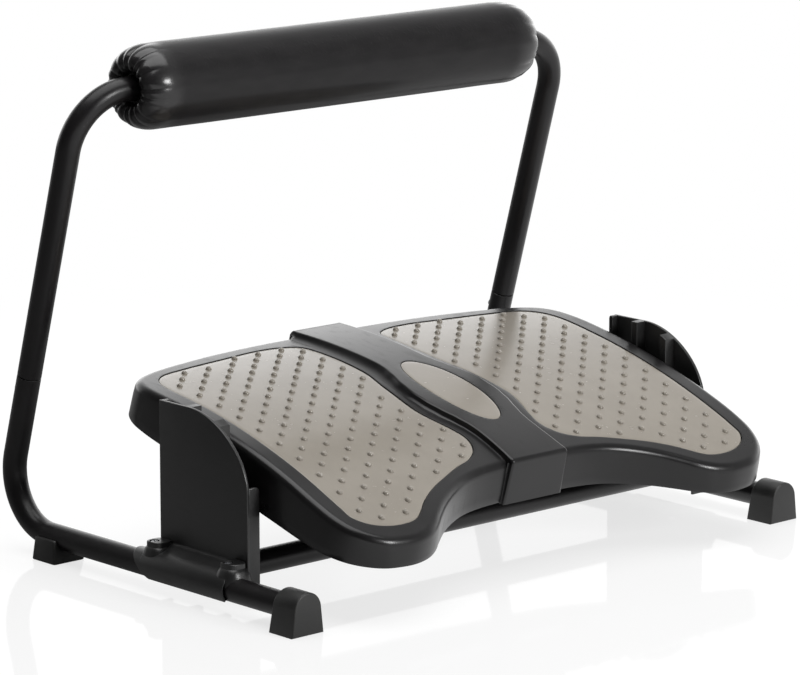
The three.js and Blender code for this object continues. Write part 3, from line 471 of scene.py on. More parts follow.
def bezier(points, steps):
    """Points of a curve through the first and last point, with the ones between as handles."""
    made = []
    for step in range(steps + 1):
        share = step / steps
        row = [Vector(point) for point in points]
        while len(row) > 1:
            row = [a.lerp(b, share) for a, b in zip(row, row[1:])]
        made.append(row[0])
    return made


crest_reach = crest_front_y - bracket_front_y
crest_line = bezier([
    (crest_front_y, bracket_top),
    (crest_front_y - crest_handle_share * crest_reach, bracket_top),
    (bracket_front_y, shoulder_height + crest_handle_share * (bracket_top - shoulder_height)),
    (bracket_front_y, shoulder_height)], 40)


def crest_at(y):
    for rear, front in zip(crest_line, crest_line[1:]):
        if front.x <= y <= rear.x:
            return front.y + (rear.y - front.y) * (y - front.x) / (rear.x - front.x)
    return bracket_top


def beside_tube(first, second, height):
    return Vector((side_tube_x + first, height, side_tube_z + second))


def sleeve_rear(spot):
    """The slanted rear end of the sleeve, which lies further back towards its top."""
    return sleeve_rear_low_y + (sleeve_rear_high_y - sleeve_rear_low_y) * (side_tube_z + spot.y) / boss_top


moulded_black = Finish("moulded_black_plastic", (0.0072, 0.0076, 0.0074), 0.42, Specular_IOR_Level=0.75)
spark_grain = moulded_black.noise(0.55, 2.0)
flow = moulded_black.noise(45, 3.0)
scuffs = moulded_black.noise(5, 5.0, moulded_black.stretched(1.0, 0.35, 1.0)).between(0.52, 0.74)
moulded_black.paint(flow.between(0.3, 0.7), (0.0062, 0.0062, 0.0063), (0.0092, 0.0092, 0.0093))
moulded_black.feed("Roughness", 0.35 + 0.08 * flow + 0.06 * scuffs)
moulded_black.relief(spark_grain, 0.02)

for side, sign in both_sides:
    bracket = Shell()
    plate = spots((bracket_front_y, bracket_low), (bracket_rear_y, bracket_low), (bracket_rear_y, bracket_top))
    bracket.loft(slab_rings(plate + crest_line, plate_inner_x, plate_outer_x, moulded_edge, along_x))
    flange = spots((channel_face_x, bracket_low), (root_x, bracket_low), (root_x, flange_top))
    flange += arc((channel_face_x + flange_corner, flange_top - flange_corner), flange_corner, 90, 180, 8)
    bracket.loft(slab_rings(flange, bracket_front_y, bracket_front_y + wall, moulded_edge, along_y))
    rear_flange = spots((rear_flange_inner_x, bracket_low), (root_x, bracket_low), (root_x, bracket_top))
    rear_flange += arc((rear_flange_inner_x + rear_flange_corner, bracket_top - rear_flange_corner),
                       rear_flange_corner, 90, 180, 6)
    bracket.loft(slab_rings(rear_flange, bracket_rear_y - rear_flange_width, bracket_rear_y, moulded_edge, along_y))
    for rib_y in rib_ys:
        low_y, high_y = rib_y - rib_width / 2, rib_y + rib_width / 2
        rib = spots((low_y, bracket_low), (high_y, bracket_low), (high_y, crest_at(high_y)), (low_y, crest_at(low_y)))
        bracket.loft(slab_rings(rib, channel_face_x, root_x, moulded_edge, along_x))
    for front_y, back_y, centre_y, centre_z in seats.values():
        cheek_z = centre_z - seat_cheek
        half_mouth = math.degrees(math.asin(seat_cheek / seat_radius))
        floor_z = centre_z - seat_radius - seat_floor
        seat = spots((front_y - seat_overlap, cheek_z), (front_y - seat_overlap, floor_z),
                     (back_y + seat_overlap, floor_z), (back_y + seat_overlap, cheek_z))
        seat += arc((centre_y, centre_z), seat_radius, -half_mouth, -180 + half_mouth, 28)
        bracket.loft(slab_rings(seat, channel_face_x, root_x, seat_edge, along_x, 2))
    socket = arc((cross_tube_y, cross_tube_z), socket_radius, 0, 360 - socket_gap_turn, 47)
    bracket.loft(slab_rings(socket, socket_inner_x, root_x, seat_edge, along_x, 2))

    sleeve = arc((0, 0), sleeve_outer, 180, -sleeve_wrap, 64) + arc((0, 0), sleeve_inner, -sleeve_wrap, 180, 64)
    web = spots((-12.5, 2), (-12.5, web_top)) + bezier([(-10.5, web_top), (-10.4, 17.9), (-7.6, 17.1)], 8)
    web += bezier([(-1, 14.6), (7.0, 12.6), (12.2, 8.4), (sleeve_outer - 0.1, 0)], 12)
    web += arc((0, 0), sleeve_inner + 0.6, 0, 170, 24)
    bracket.loft(slab_rings(sleeve, sleeve_front_y, sleeve_rear, sleeve_edge, beside_tube, 4))
    bracket.loft(slab_rings(web, sleeve_front_y, bracket_rear_y, sleeve_edge, beside_tube, 4))

    for boss_y in boss_ys:
        turns = round_turns(boss_sides)
        outline = []
        for turn in turns:
            c, s = math.cos(turn), math.sin(turn)
            spread = abs(c / boss_half_width) ** boss_power + abs(s / boss_half_length) ** boss_power
            reach = spread ** (-1 / boss_power)
            outline.append(Vector((boss_middle_x + reach * c, boss_y - boss_lead + reach * s)))
        rim = [Vector((side_tube_x + boss_recess_radius * math.cos(turn),
                       boss_y + boss_recess_radius * math.sin(turn))) for turn in turns]
        screw_axis = Vector((side_tube_x, boss_y))
        rings = []
        for drop, grow in reversed(boss_skirt):
            grown = inset(outline, -grow)
            rings.append([Vector((max(spot.x, plate_inner_x + 0.6), spot.y, boss_top - boss_wall - drop))
                          for spot in grown])
        rings.append([Vector((*spot, boss_top - boss_wall)) for spot in outline])
        for left, done in quarter_round(5):
            rings.append([Vector((*spot, boss_top - boss_edge * left)) for spot in inset(outline, boss_edge * done)])
        for grow, drop in ((1.04, 0.0), (1.01, 0.1), (1.0, 0.3), (1.0, boss_recess_depth), (0.4, boss_recess_depth)):
            rings.append([Vector((*(screw_axis + (spot - screw_axis) * grow), boss_top - drop)) for spot in rim])
        bracket.loft(rings)

    moulding = bracket.made(f"{side}_bracket_moulding", moulded_black, 35, sign)
    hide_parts(f"{side}_side_bracket")
    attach(moulding, "frame")

# Front feet: soft black mouldings pushed over the tubes' front ends, closed at the front, flat below and
# rounded above.
foot_front_y = -175.867
foot_length = 25.4
foot_half_width = 16.0
foot_top = 33.8
foot_round = 13.6
foot_edge = 1.3
foot_heel = 3.2
foot_rubber = Finish("black_foot_rubber", (0.007, 0.007, 0.0065), 0.42, Specular_IOR_Level=0.65)
dust = foot_rubber.noise(9, 5.0)
foot_rubber.paint(dust.between(0.45, 0.8), (0.005, 0.005, 0.0046), (0.011, 0.011, 0.0103))
foot_rubber.feed("Roughness", 0.38 + 0.22 * dust)
foot_rubber.relief(foot_rubber.noise(0.8, 3.0), 0.04)


def round_tube_end(first, second, height):
    return Vector((side_tube_x + first, height, second))


for side, sign in both_sides:
    foot = Shell()
    outline = spots((-foot_half_width, 0), (foot_half_width, 0))
    outline += arc((0, foot_top - foot_round), foot_round, 4, 176, 36)
    foot.loft(slab_rings(outline, foot_front_y, foot_front_y + foot_length, foot_edge, round_tube_end, 4))
    for corner in foot.corners:
        corner.y += foot_heel * (1 - corner.z / foot_top) * (corner.y - foot_front_y) / foot_length
    front_cap = foot.made(f"{side}_front_cap", foot_rubber, 45, sign)
    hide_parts(f"{side}_front_foot")
    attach(front_cap, "frame")

# Rear feet: blocks of the same soft plastic, hollowed to the tube above and screwed to it from below. Their
# sides draw in towards the top, and the front face leans back.
rear_foot_front_y = 120.927
rear_foot_rear_y = 150.927
rear_foot_top_front_y = 124.927
rear_foot_top_half_width = 12.6
rear_foot_corner = 2.0
rear_foot_levels = ((0.0, 1.2), (0.35, 0.35), (1.2, 0.0), (6.0, 0.0), (12.0, 0.0), (17.6, 0.0), (18.6, 0.4),
                    (19.0, 1.2))
for side, sign in both_sides:
    foot = Shell()
    rings = []
    for z, drawn in rear_foot_levels:
        share = z / side_tube_z
        half = foot_half_width + (rear_foot_top_half_width - foot_half_width) * share - drawn
        front_y = rear_foot_front_y + (rear_foot_top_front_y - rear_foot_front_y) * share + drawn
        rear_y = rear_foot_rear_y - drawn
        outline = []
        side_x, high_y, low_y = half - rear_foot_corner, rear_y - rear_foot_corner, front_y + rear_foot_corner
        for centre_x, centre_y, start in ((side_x, high_y, 0), (-side_x, high_y, 90),
                                          (-side_x, low_y, 180), (side_x, low_y, 270)):
            outline += arc((side_tube_x + centre_x, centre_y), rear_foot_corner, start, start + 90, 5)
        rings.append([Vector((spot.x, spot.y, z)) for spot in outline])
    foot.loft(rings)
    saddle = foot.made(f"{side}_rear_saddle", foot_rubber, 40, sign)
    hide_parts(f"{side}_rear_foot")
    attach(saddle, "frame")

# Tread halves: two injection moulded shells in black plastic, curved fore and aft, with a lobe in front and a
# skirt all round. They butt under the centre bridge, and ribs underneath carry them on the axle.
tread_half_width = 236.5
tread_front_reach = 171.0
tread_rear_reach = 162.5
crown_radius = 720.7
crown_apex_setback = 3.46
crown_rise = 30.0
skirt_bottom = -12.3
skirt_flare = 1.2
rim_edge = 6.0
shell_wall = 3.0
shell_thickness = 5.5
shell_fillet = 2.0
seam_half_gap = 0.2
pad_sink = 0.5
pad_thickness = 2.0
pad_gap = 0.45
lip_edge = 0.5
tread_slope = math.radians(15.2)
tread_turn = Matrix.Rotation(tread_slope, 3, "X")
axle_place = Vector((0, -35.573, 101.86))
shell_centre = Vector((130.0, 0.0))
outline_steps = 8
pad_steps = 12
outline_shares = (
    (0, -0.6579), (0.1395, -0.6608), (0.2537, -0.6743), (0.3383, -0.6994), (0.4228, -0.7485), (0.5011, -0.8129),
    (0.5624, -0.8772), (0.6173, -0.938), (0.6681, -0.9766), (0.7357, -1), (0.8034, -0.9977), (0.8626, -0.9801),
    (0.9175, -0.9357), (0.9619, -0.8684), (0.9903, -0.7719), (1, -0.655), (1, -0.3626), (1, 0.2769),
    (1, 0.5662), (0.9886, 0.6831), (0.9611, 0.7662), (0.9175, 0.8215), (0.8626, 0.8591), (0.7949, 0.8898),
    (0.685, 0.9243), (0.5497, 0.9588), (0.4144, 0.9809), (0.2537, 0.9957), (0, 1))
pad_shares = (
    (0.2197, -0.1161), (0.2068, -0.2129), (0.1821, -0.3291), (0.1732, -0.4162), (0.1989, -0.5042), (0.2533, -0.5642),
    (0.3384, -0.6049), (0.4225, -0.6543), (0.5076, -0.7085), (0.5917, -0.781), (0.6431, -0.8401), (0.6827, -0.8759),
    (0.7322, -0.8904), (0.8014, -0.8856), (0.8707, -0.8498), (0.9123, -0.7859), (0.9172, -0.7114), (0.9172, -0.3484),
    (0.9172, 0.2954), (0.9172, 0.6026), (0.8954, 0.6991), (0.846, 0.767), (0.7183, 0.8103), (0.5076, 0.8527),
    (0.3592, 0.8793), (0.2533, 0.8665), (0.188, 0.8172), (0.1732, 0.7247), (0.1732, 0.3407), (0.1979, 0.1674))


def on_tread(x, y, z):
    """From the tread's own frame, level with the axle at its origin, to the model's frame."""
    return tread_turn @ Vector((x, y, z)) + axle_place


def crown_at(y, height=0.0):
    """The height of a surface that lies height above the crown, measured square to it."""
    return crown_rise - crown_radius + math.sqrt((crown_radius + height) ** 2 - (y + crown_apex_setback) ** 2)


def shares_to_spots(shares):
    reach = {True: tread_front_reach, False: tread_rear_reach}
    return [Vector((across * tread_half_width, along * reach[along < 0])) for across, along in shares]


def smooth_loop(knots, steps):
    """A closed curve through the knots, with that many points for each."""
    made = []
    count = len(knots)
    for index in range(count):
        p0, p1, p2, p3 = (knots[(index + shift) % count] for shift in (-1, 0, 1, 2))
        d1, d2, d3 = ((a - b).length ** 0.5 for a, b in ((p1, p0), (p2, p1), (p3, p2)))
        way_in = ((p1 - p0) / d1 - (p2 - p0) / (d1 + d2) + (p2 - p1) / d2) * d2
        way_out = ((p2 - p1) / d2 - (p3 - p1) / (d2 + d3) + (p3 - p2) / d3) * d2
        for step in range(steps):
            t = step / steps
            bend = -2 * p2 + 2 * p1 + way_in + way_out
            rise = 3 * p2 - 3 * p1 - 2 * way_in - way_out
            made.append(p1 + way_in * t + rise * t ** 2 + bend * t ** 3)
    return made


def ray_hit(loop, way):
    """Where a ray from the shell's centre crosses a closed loop for the last time."""
    best = 0.0
    for here, beside in zip(loop, loop[1:] + loop[:1]):
        a, b = here - shell_centre, beside - shell_centre
        side_a, side_b = way.x * a.y - way.y * a.x, way.x * b.y - way.y * b.x
        if (side_a > 0) == (side_b > 0):
            continue
        share = side_a / (side_a - side_b)
        best = max(best, way.dot(a.lerp(b, share)))
    return shell_centre + way * best


outline_knots = shares_to_spots(outline_shares)
whole_loop = smooth_loop(outline_knots + [Vector((-p.x, p.y)) for p in outline_knots[-2:0:-1]], outline_steps)
half_count = outline_steps * (len(outline_knots) - 1) + 1
half_outline = [Vector((max(p.x, seam_half_gap), p.y)) for p in whole_loop[:half_count]]
seam_steps = 40
seam_line = [half_outline[-1].lerp(half_outline[0], step / seam_steps) for step in range(1, seam_steps)]
half_loop = half_outline + seam_line
on_skirt = [True] * len(half_outline) + [False] * len(seam_line)
pad_knot_loop = smooth_loop(shares_to_spots(pad_shares), pad_steps)
pad_loop = [ray_hit(pad_knot_loop, (spot - shell_centre).normalized()) for spot in half_loop]


def shell_offset(distance):
    """The half's outline moved outwards on its free edge only, so that the joint stays straight."""
    moved = inset(half_loop, -distance)
    return [Vector((max(out.x, seam_half_gap), out.y)) if free else here
            for out, here, free in zip(moved, half_loop, on_skirt)]


def flare_at(share):
    """How far the skirt has run outwards at that share of its drop."""
    return skirt_flare * (0.2 + 0.8 * share)


def shell_ring(out, on_edge, at_joint):
    """The half's outline moved outwards. Its height is on_edge of y on the free edge, and at the joint the given
    height over the crown."""
    return [Vector((p.x, p.y, on_edge(p.y) if free else crown_at(p.y, at_joint)))
            for p, free in zip(shell_offset(out), on_skirt)]


def over_crown(loop, height=0.0):
    return [Vector((p.x, p.y, crown_at(p.y, height))) for p in loop]


def towards_centre(loop, share):
    return [Vector((p.x, p.y)).lerp(shell_centre, share) for p in loop]


def on_tread_rings(rings):
    return [[on_tread(*p) for p in ring] for ring in rings]


def along_tread(first, second, height):
    return on_tread(height, first, second)


moulded_tread = Finish("moulded_black_tread", (0.006, 0.0056, 0.006), 0.34, Specular_IOR_Level=0.33,
                       Coat_Roughness=0.2)
tread_grain = moulded_tread.noise(0.5, 2.0)
tread_flow = moulded_tread.noise(70, 3.0)
soles = moulded_tread.noise(7, 5.0, moulded_tread.stretched(1.0, 0.4, 0.4)).between(0.5, 0.78)
moulded_tread.paint(tread_flow.between(0.3, 0.7), (0.0045, 0.0041, 0.0045), (0.0075, 0.0070, 0.0074))
moulded_tread.feed("Roughness", 0.25 + 0.08 * tread_flow + 0.08 * soles)
moulded_tread.feed("Coat Weight", 0.16)
moulded_tread.relief(tread_grain, 0.018)

rib_xs = (61.49, 146.63)
rib_thickness = 4.0
rib_half_length = 32.0
rib_low = -11.0
rib_chamfer = 6.0
rib_edge = 0.5
recess_room = 0.3
skirt_foot_rise = 0.8
skirt_foot = ((0.0, skirt_foot_rise, -1.5), (0.25, 0.2, -2.5), (0.8, 0.0, -3.5), (shell_wall - 0.5, 0.0, -4.5),
              (shell_wall, 0.5, -shell_thickness))
for side, sign in both_sides:
    shell = Shell()
    recess = -pad_sink - pad_thickness - recess_room
    rings = [over_crown(towards_centre(pad_loop, 0.25), recess), over_crown(inset(pad_loop, -pad_gap), recess)]
    for left, done in quarter_round(4):
        rings.append(over_crown(inset(pad_loop, -pad_gap - lip_edge * done), -lip_edge * left))
    lip, brow = rings[-1], over_crown(shell_offset(-rim_edge))
    for step in range(1, 10):
        rings.append(over_crown([a.lerp(b, step / 10) for a, b in zip(lip, brow)]))
    for left, done in quarter_round(7):
        rings.append(shell_ring(-rim_edge * left, lambda y: crown_at(y, -rim_edge * done), 0))
    for share in (0.25, 0.5, 0.75):
        rings.append(shell_ring(
            flare_at(share),
            lambda y: crown_at(y, -rim_edge) * (1 - share) + (skirt_bottom + skirt_foot_rise) * share, -1.0))
    for drawn_in, rise, at_joint in skirt_foot:
        rings.append(shell_ring(skirt_flare - drawn_in, lambda y: skirt_bottom + rise, at_joint))
    for left, done in quarter_round(3):
        rings.append(shell_ring(-shell_wall - shell_fillet * done,
                                lambda y: crown_at(y, -shell_thickness - shell_fillet * left), -shell_thickness))
    last = rings[-1]
    for share in (0.15, 0.3, 0.45, 0.6, 0.75, 0.9, 0.97):
        rings.append(over_crown(towards_centre(last, share), -shell_thickness))
    shell.loft(on_tread_rings(rings))
    for rib_x in rib_xs:
        top = [Vector((y, crown_at(y, -shell_thickness + 1))) for y in range(32, -33, -8)]
        rib = spots((-rib_half_length, rib_low + rib_chamfer), (-rib_half_length + rib_chamfer, rib_low),
                    (rib_half_length - rib_chamfer, rib_low), (rib_half_length, rib_low + rib_chamfer)) + top
        shell.loft(slab_rings(rib, rib_x, rib_x + rib_thickness, rib_edge, along_tread, 2))
    moulding = shell.made(f"{side}_tread_moulding", moulded_tread, 40, sign)
    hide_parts(f"{side}_tread_half")
    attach(moulding, "tread")

# Foot pads: thin warm grey mouldings let into the tread, each with staggered rows of domes that rub the soles.
# A narrow groove is left all round.
nub_column_pitch = 12.7
nub_row_pitch = 12.63
nub_first_column = 13.2
nub_first_row = 0.2
nub_radius = 2.6
nub_rise = 2.5
nub_margin = 4.4
pad_edge = 0.8
pad_grey = Finish("warm_grey_pad", (0.30, 0.27, 0.23), 0.44)
pad_flow = pad_grey.noise(38, 3.0)
pad_grain = pad_grey.noise(0.6, 2.0)
grime = pad_grey.noise(4.5, 5.0).between(0.5, 0.85)
pad_grey.paint(pad_flow.between(0.3, 0.7) * 0.7 + grime * 0.3, (0.288, 0.262, 0.224), (0.260, 0.235, 0.200))
pad_grey.feed("Roughness", 0.17 + 0.08 * pad_flow + 0.10 * grime)
pad_grey.relief(pad_grain, 0.012)

nub_recipe = Recipe("domes_on_pad", {
    "Dome radius": "NodeSocketFloat", "Dome rise": "NodeSocketFloat", "Finish": "NodeSocketMaterial"})
given = nub_recipe.given
dome = nub_recipe.node("GeometryNodeMeshUVSphere", {}, {"Segments": 16, "Rings": 10, "Radius": 1.0})
slope = nub_recipe.node("GeometryNodeInputNamedAttribute", {"data_type": "FLOAT"}, {"Name": "slope"})
turn = nub_recipe.node("ShaderNodeCombineXYZ", {}, {"X": slope})
girth = nub_recipe.node("ShaderNodeCombineXYZ", {}, {
    "X": given["Dome radius"], "Y": given["Dome radius"], "Z": given["Dome rise"]})
nub_recipe.close(nub_recipe.node("GeometryNodeInstanceOnPoints", {}, {
    "Points": given["Start"], "Instance": dome, "Rotation": turn, "Scale": girth}))


def inside(loop, spot):
    within = False
    for here, beside in zip(loop, loop[1:] + loop[:1]):
        if (here.y > spot.y) != (beside.y > spot.y):
            crossing = here.x + (beside.x - here.x) * (spot.y - here.y) / (beside.y - here.y)
            within ^= spot.x < crossing
    return within


nub_limit = inset(pad_knot_loop, nub_margin)
nub_spots = []
for row in range(-14, 15):
    arc_place = nub_first_row + row * nub_row_pitch
    y = crown_radius * math.sin(arc_place / crown_radius) - crown_apex_setback
    for column in range(20):
        spot = Vector((nub_first_column + column * nub_column_pitch, y))
        if (row + column) % 2 and inside(nub_limit, spot):
            nub_spots.append(spot)

for side, sign in both_sides:
    pad = Shell()
    under = -pad_sink - pad_thickness
    rings = [over_crown(towards_centre(pad_loop, share), under) for share in (0.97, 0.6, 0.25)]
    rings.append(over_crown(pad_loop, under))
    for left, done in quarter_round(4):
        rings.append(over_crown(inset(pad_loop, pad_edge * done), -pad_sink - pad_edge * left))
    rim = rings[-1]
    for share in (0.04, 0.12, 0.2, 0.28, 0.36, 0.44, 0.52, 0.6, 0.68, 0.76, 0.84, 0.92, 0.975):
        rings.append(over_crown(towards_centre(rim, share), -pad_sink))
    pad.loft(on_tread_rings(rings))
    sheet = pad.made(f"{side}_pad_sheet", pad_grey, 40, sign)

    start = bpy.data.meshes.new("nub_places")
    feet = [on_tread(spot.x, spot.y, crown_at(spot.y, -pad_sink)) for spot in nub_spots]
    start.from_pydata([(sign * p.x / 1000, p.y / 1000, p.z / 1000) for p in feet], [], [])
    slopes = [tread_slope - math.asin((spot.y + crown_apex_setback) / crown_radius) for spot in nub_spots]
    start.attributes.new("slope", "FLOAT", "POINT").data.foreach_set("value", slopes)
    values = {"Dome radius": nub_radius / 1000, "Dome rise": nub_rise / 1000, "Finish": pad_grey.material}
    nubs = nub_recipe.run(f"{side}_pad_nubs", start, values, 60)
    for piece in (sheet, nubs):
        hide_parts(f"{side}_foot_pad")
        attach(piece, "tread")

# Centre bridge: a black moulded strap, 5 mm proud, that covers the joint of the two halves from lip to lip. It
# swells round an oval recess, and its sides fall steeply and run out in a hollow curve.
strap_rise = 5.0
strap_edge = 4.0
front_lip_y = -117.2
rear_lip_y = 166.8
front_lip_foot = -13.4
rear_lip_foot = -9.4
lip_flare = 1.6
lip_height = 45.0
lip_gap = 0.15
bend_gap = 0.1
strap_gap = 0.05
strap_steps = 104
lip_spread = 1.4
strap_brow = ((-2.2, 0.0), (-1.5, -0.08), (-0.8, -0.32), (-0.25, -0.68))
strap_stations = (
    (-119, 31.0, 31.6), (-104, 29.8, 30.8), (-84, 28.9, 30.0), (-70, 28.8, 30.2), (-60, 29.8, 31.6),
    (-48, 32.6, 35.0), (-34, 36.6, 40.2), (-18, 39.4, 44.0), (0, 39.6, 44.8), (17, 37.0, 43.0), (36, 31.4, 40.0),
    (48, 28.2, 39.6), (58, 26.8, 39.2), (74, 26.6, 38.6), (90, 26.8, 38.0), (120, 27.2, 36.6), (168, 27.6, 35.6))
strap_side = ((0.0, -1.0), (0.05, -1.5), (0.1, -2.1), (0.17, -2.8), (0.27, -3.5), (0.41, -4.1), (0.58, -4.55),
              (0.78, -4.85), (1.0, -5.0))
oval_width = 45.0
oval_length = 114.0
oval_gap = 0.5
oval_recess = 1.8
oval_sink = 0.25
oval_edge = 0.7
recess_lip = 0.35
inlay_gap = 0.1
inlay_middle = -14.0


def smooth(share):
    share = min(max(share, 0.0), 1.0)
    return share * share * (3 - 2 * share)


def strap_path():
    """Stations of the strap: its outer surface's (y, z), the (y, z) below on the shells, and how far it is a lip."""

    def lip(rim_y, lip_y, foot, facing):
        """From the lip's foot up and over its edge. facing is -1 in front and 1 behind."""
        top = crown_at(lip_y - facing * strap_edge, strap_rise)
        rim_top = crown_at(rim_y)
        made = []
        for step in range(8):
            z = foot + (top - strap_edge - foot) * step / 7
            share = min(max((rim_top - rim_edge - z) / (rim_top - rim_edge - skirt_bottom), 0), 1)
            under = rim_y + facing * (flare_at(share) + lip_gap)
            made.append(((lip_y, z), (under, z), 1.0))
        for step in range(1, 8):
            turn = math.pi / 2 * (1 - step / 8)
            over = (lip_y - facing * strap_edge * (1 - math.sin(turn)), top - strap_edge * (1 - math.cos(turn)))
            under = (rim_y - facing * (rim_edge * (1 - math.sin(turn)) - lip_gap * math.sin(turn)),
                     rim_top - rim_edge * (1 - math.cos(turn)) + bend_gap)
            made.append((over, under, 1 - step / 8))
        return made

    front_rim, rear_rim = half_outline[0].y, half_outline[-1].y
    stations = lip(front_rim, front_lip_y, front_lip_foot, -1)
    for step in range(strap_steps + 1):
        share = step / strap_steps
        y = front_lip_y + strap_edge + (rear_lip_y - front_lip_y - 2 * strap_edge) * step / strap_steps
        under_y = front_rim + rim_edge + (rear_rim - front_rim - 2 * rim_edge) * share
        low_y = under_y + (y - under_y) * smooth(min(share, 1 - share) * 12)
        stations.append(((y, crown_at(y, strap_rise)), (low_y, crown_at(low_y, strap_gap)), 0.0))
    return stations + lip(rear_rim, rear_lip_y, rear_lip_foot, 1)[::-1]


def strap_widths(y):
    """Half widths of the strap at its top edge and at its foot."""
    for (y0, top0, foot0), (y1, top1, foot1) in zip(strap_stations, strap_stations[1:]):
        if y <= y1:
            share = smooth((y - y0) / (y1 - y0)) * 0.4 + min(max((y - y0) / (y1 - y0), 0), 1) * 0.6
            return top0 + (top1 - top0) * share, foot0 + (foot1 - foot0) * share
    return strap_stations[-1][1:]


strap = Shell()
rings = []
for (y, z), (under_y, under_z), lip_share in strap_path():
    half, foot = strap_widths(y)
    foot = foot + (half + lip_spread - foot) * lip_share
    if lip_share == 1.0:
        flare = lip_flare * (crown_at(y, strap_rise) - strap_edge - z) / lip_height
        half, foot = half + flare, foot + flare
    over, under = Vector((0, y, z)), Vector((0, under_y, under_z))
    section = [(half + run, fall) for run, fall in strap_brow]
    section += [(half + (foot - half) * run, fall) for run, fall in strap_side]
    ring = [over.lerp(under, -fall / strap_rise) + Vector((x, 0, 0)) for x, fall in section]
    ring += [over.lerp(under, -fall / strap_rise) - Vector((x, 0, 0)) for x, fall in reversed(section)]
    ring += [over + Vector((half * share, 0, 0)) for share in (-0.7, -0.35, 0.0, 0.35, 0.7)]
    rings.append(ring)
strap.loft(on_tread_rings(rings))
strap_piece = strap.made("centre_strap", moulded_tread, 38)


def oval_loop(grow):
    return [Vector(((oval_width / 2 + grow) * math.cos(turn),
                    (oval_length / 2 + grow) * math.sin(turn) - crown_apex_setback)) for turn in round_turns(96)]


def shrunk_oval(loop, share):
    """The loop drawn in to that share of its size about the oval's middle."""
    return [Vector((p.x * share, (p.y + crown_apex_setback) * share - crown_apex_setback)) for p in loop]


recess_loop, mouth_loop = oval_loop(oval_gap), oval_loop(oval_gap + recess_lip)
cutter = Shell()
cutter.loft(on_tread_rings([
    over_crown(shrunk_oval(recess_loop, 0.02), strap_rise - oval_recess),
    over_crown(recess_loop, strap_rise - oval_recess), over_crown(recess_loop, strap_rise - recess_lip),
    over_crown(mouth_loop, strap_rise), over_crown(mouth_loop, strap_rise + 4)]))
recess_cutter = cutter.made("oval_recess_cutter", moulded_tread)
carve = strap_piece.modifiers.new("oval recess", "BOOLEAN")
carve.object = recess_cutter
carve.solver = "EXACT"
strap_piece.modifiers.new("flat faces stay flat", "WEIGHTED_NORMAL").keep_sharp = True
carved = bpy.data.meshes.new_from_object(strap_piece.evaluated_get(bpy.context.evaluated_depsgraph_get()))
strap_piece.modifiers.clear()
strap_piece.data = carved
bpy.data.objects.remove(recess_cutter)
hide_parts("centre_bridge")
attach(strap_piece, "tread")

# Oval inlay: a plain oval plate, moulded in the pads' warm grey plastic, with a softened edge. It is pressed into
# the bridge's recess and lies just under its rim.
inlay = Shell()
rings = [over_crown(oval_loop(grow), strap_rise - oval_recess + inlay_gap) for grow in (inlay_middle, 0.0)]
for left, done in quarter_round(4):
    rings.append(over_crown(oval_loop(-oval_edge * done), strap_rise - oval_sink - oval_edge * left))
for share in (0.9, 0.75, 0.6, 0.45, 0.3, 0.15, 0.03):
    rings.append(over_crown(shrunk_oval(oval_loop(-oval_edge), share), strap_rise - oval_sink))
inlay.loft(on_tread_rings(rings))
inlay_piece = inlay.made("oval_plain_inlay", pad_grey, 40)
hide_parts("oval_inlay")
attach(inlay_piece, "tread")

# Roller foam: a dense foam tube pushed over the crossbar, with its ends rounded off so that the cover can be
# drawn in over them.
bar_axis = in_uprights(0, 0, upright_length)
roller_half = 216.7
foam_half = 203.7
foam_radius = 33.1
foam_bore = 10.35
foam_round_length = 14.0
foam_round_depth = 9.0
foam_end_radius = 20.0


def turned_about(axis, profile, sides):
    """Rings about a line across the model through axis, from (place along it, radius)."""
    return [[Vector((along, axis.y + radius * math.cos(turn), axis.z + radius * math.sin(turn)))
             for turn in round_turns(sides)] for along, radius in profile]


foam_grey = Finish("grey_roller_foam", (0.10, 0.10, 0.10), 0.95)
cells = foam_grey.node("ShaderNodeTexVoronoi", {}, {"Vector": foam_grey.place, "Scale": 1400.0}, "Distance")
foam_grey.paint(cells.between(0.0, 0.5), (0.04, 0.04, 0.04), (0.13, 0.13, 0.13))
foam_grey.relief(cells, 0.25)
foam = Shell()
outer = [(foam_half - foam_round_length * left, foam_radius - foam_round_depth * done)
         for left, done in quarter_round(6)]
outer += [(foam_half, foam_end_radius), (foam_half, foam_bore)]
whole = [(-along, radius) for along, radius in reversed(outer)] + outer
foam.loft(turned_about(bar_axis, whole, 64), closed=True)
foam_piece = foam.made("foam_core", foam_grey, 50)
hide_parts("roller_foam")
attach(foam_piece, "roller")

# Roller cover: black vinyl on a knit back, satin along the middle and glossier where it strains over the ends. It
# is pulled tight over the foam, and a cord gathers each end round the tube, so that the shoulder puffs out in
# uneven pleats and the middle is drawn in as a deep dimple.
cover_radius = 35.0
cover_thickness = 1.6
shoulder_length = 25.0
puff_radius = 21.0
dimple_depth = 8.0
hem_radius = 12.6
pleats_each_end = 19
pleat_depth = 2.3
pleat_scatter = 0.38
pleat_strengths = (0.4, 1.0)
pleat_runs = (20, 52)
pleat_overlap = 1.15
pleat_sharpness = 1.7
pleat_full = 12
slow_slack = 0.22
quick_slack = 0.16
slack_run = 60
around_cover = 320
shine_from = 180.0
shine_full = 196.0
crinkles_rise = (385, 402)
crinkles_fade = (408, 419)


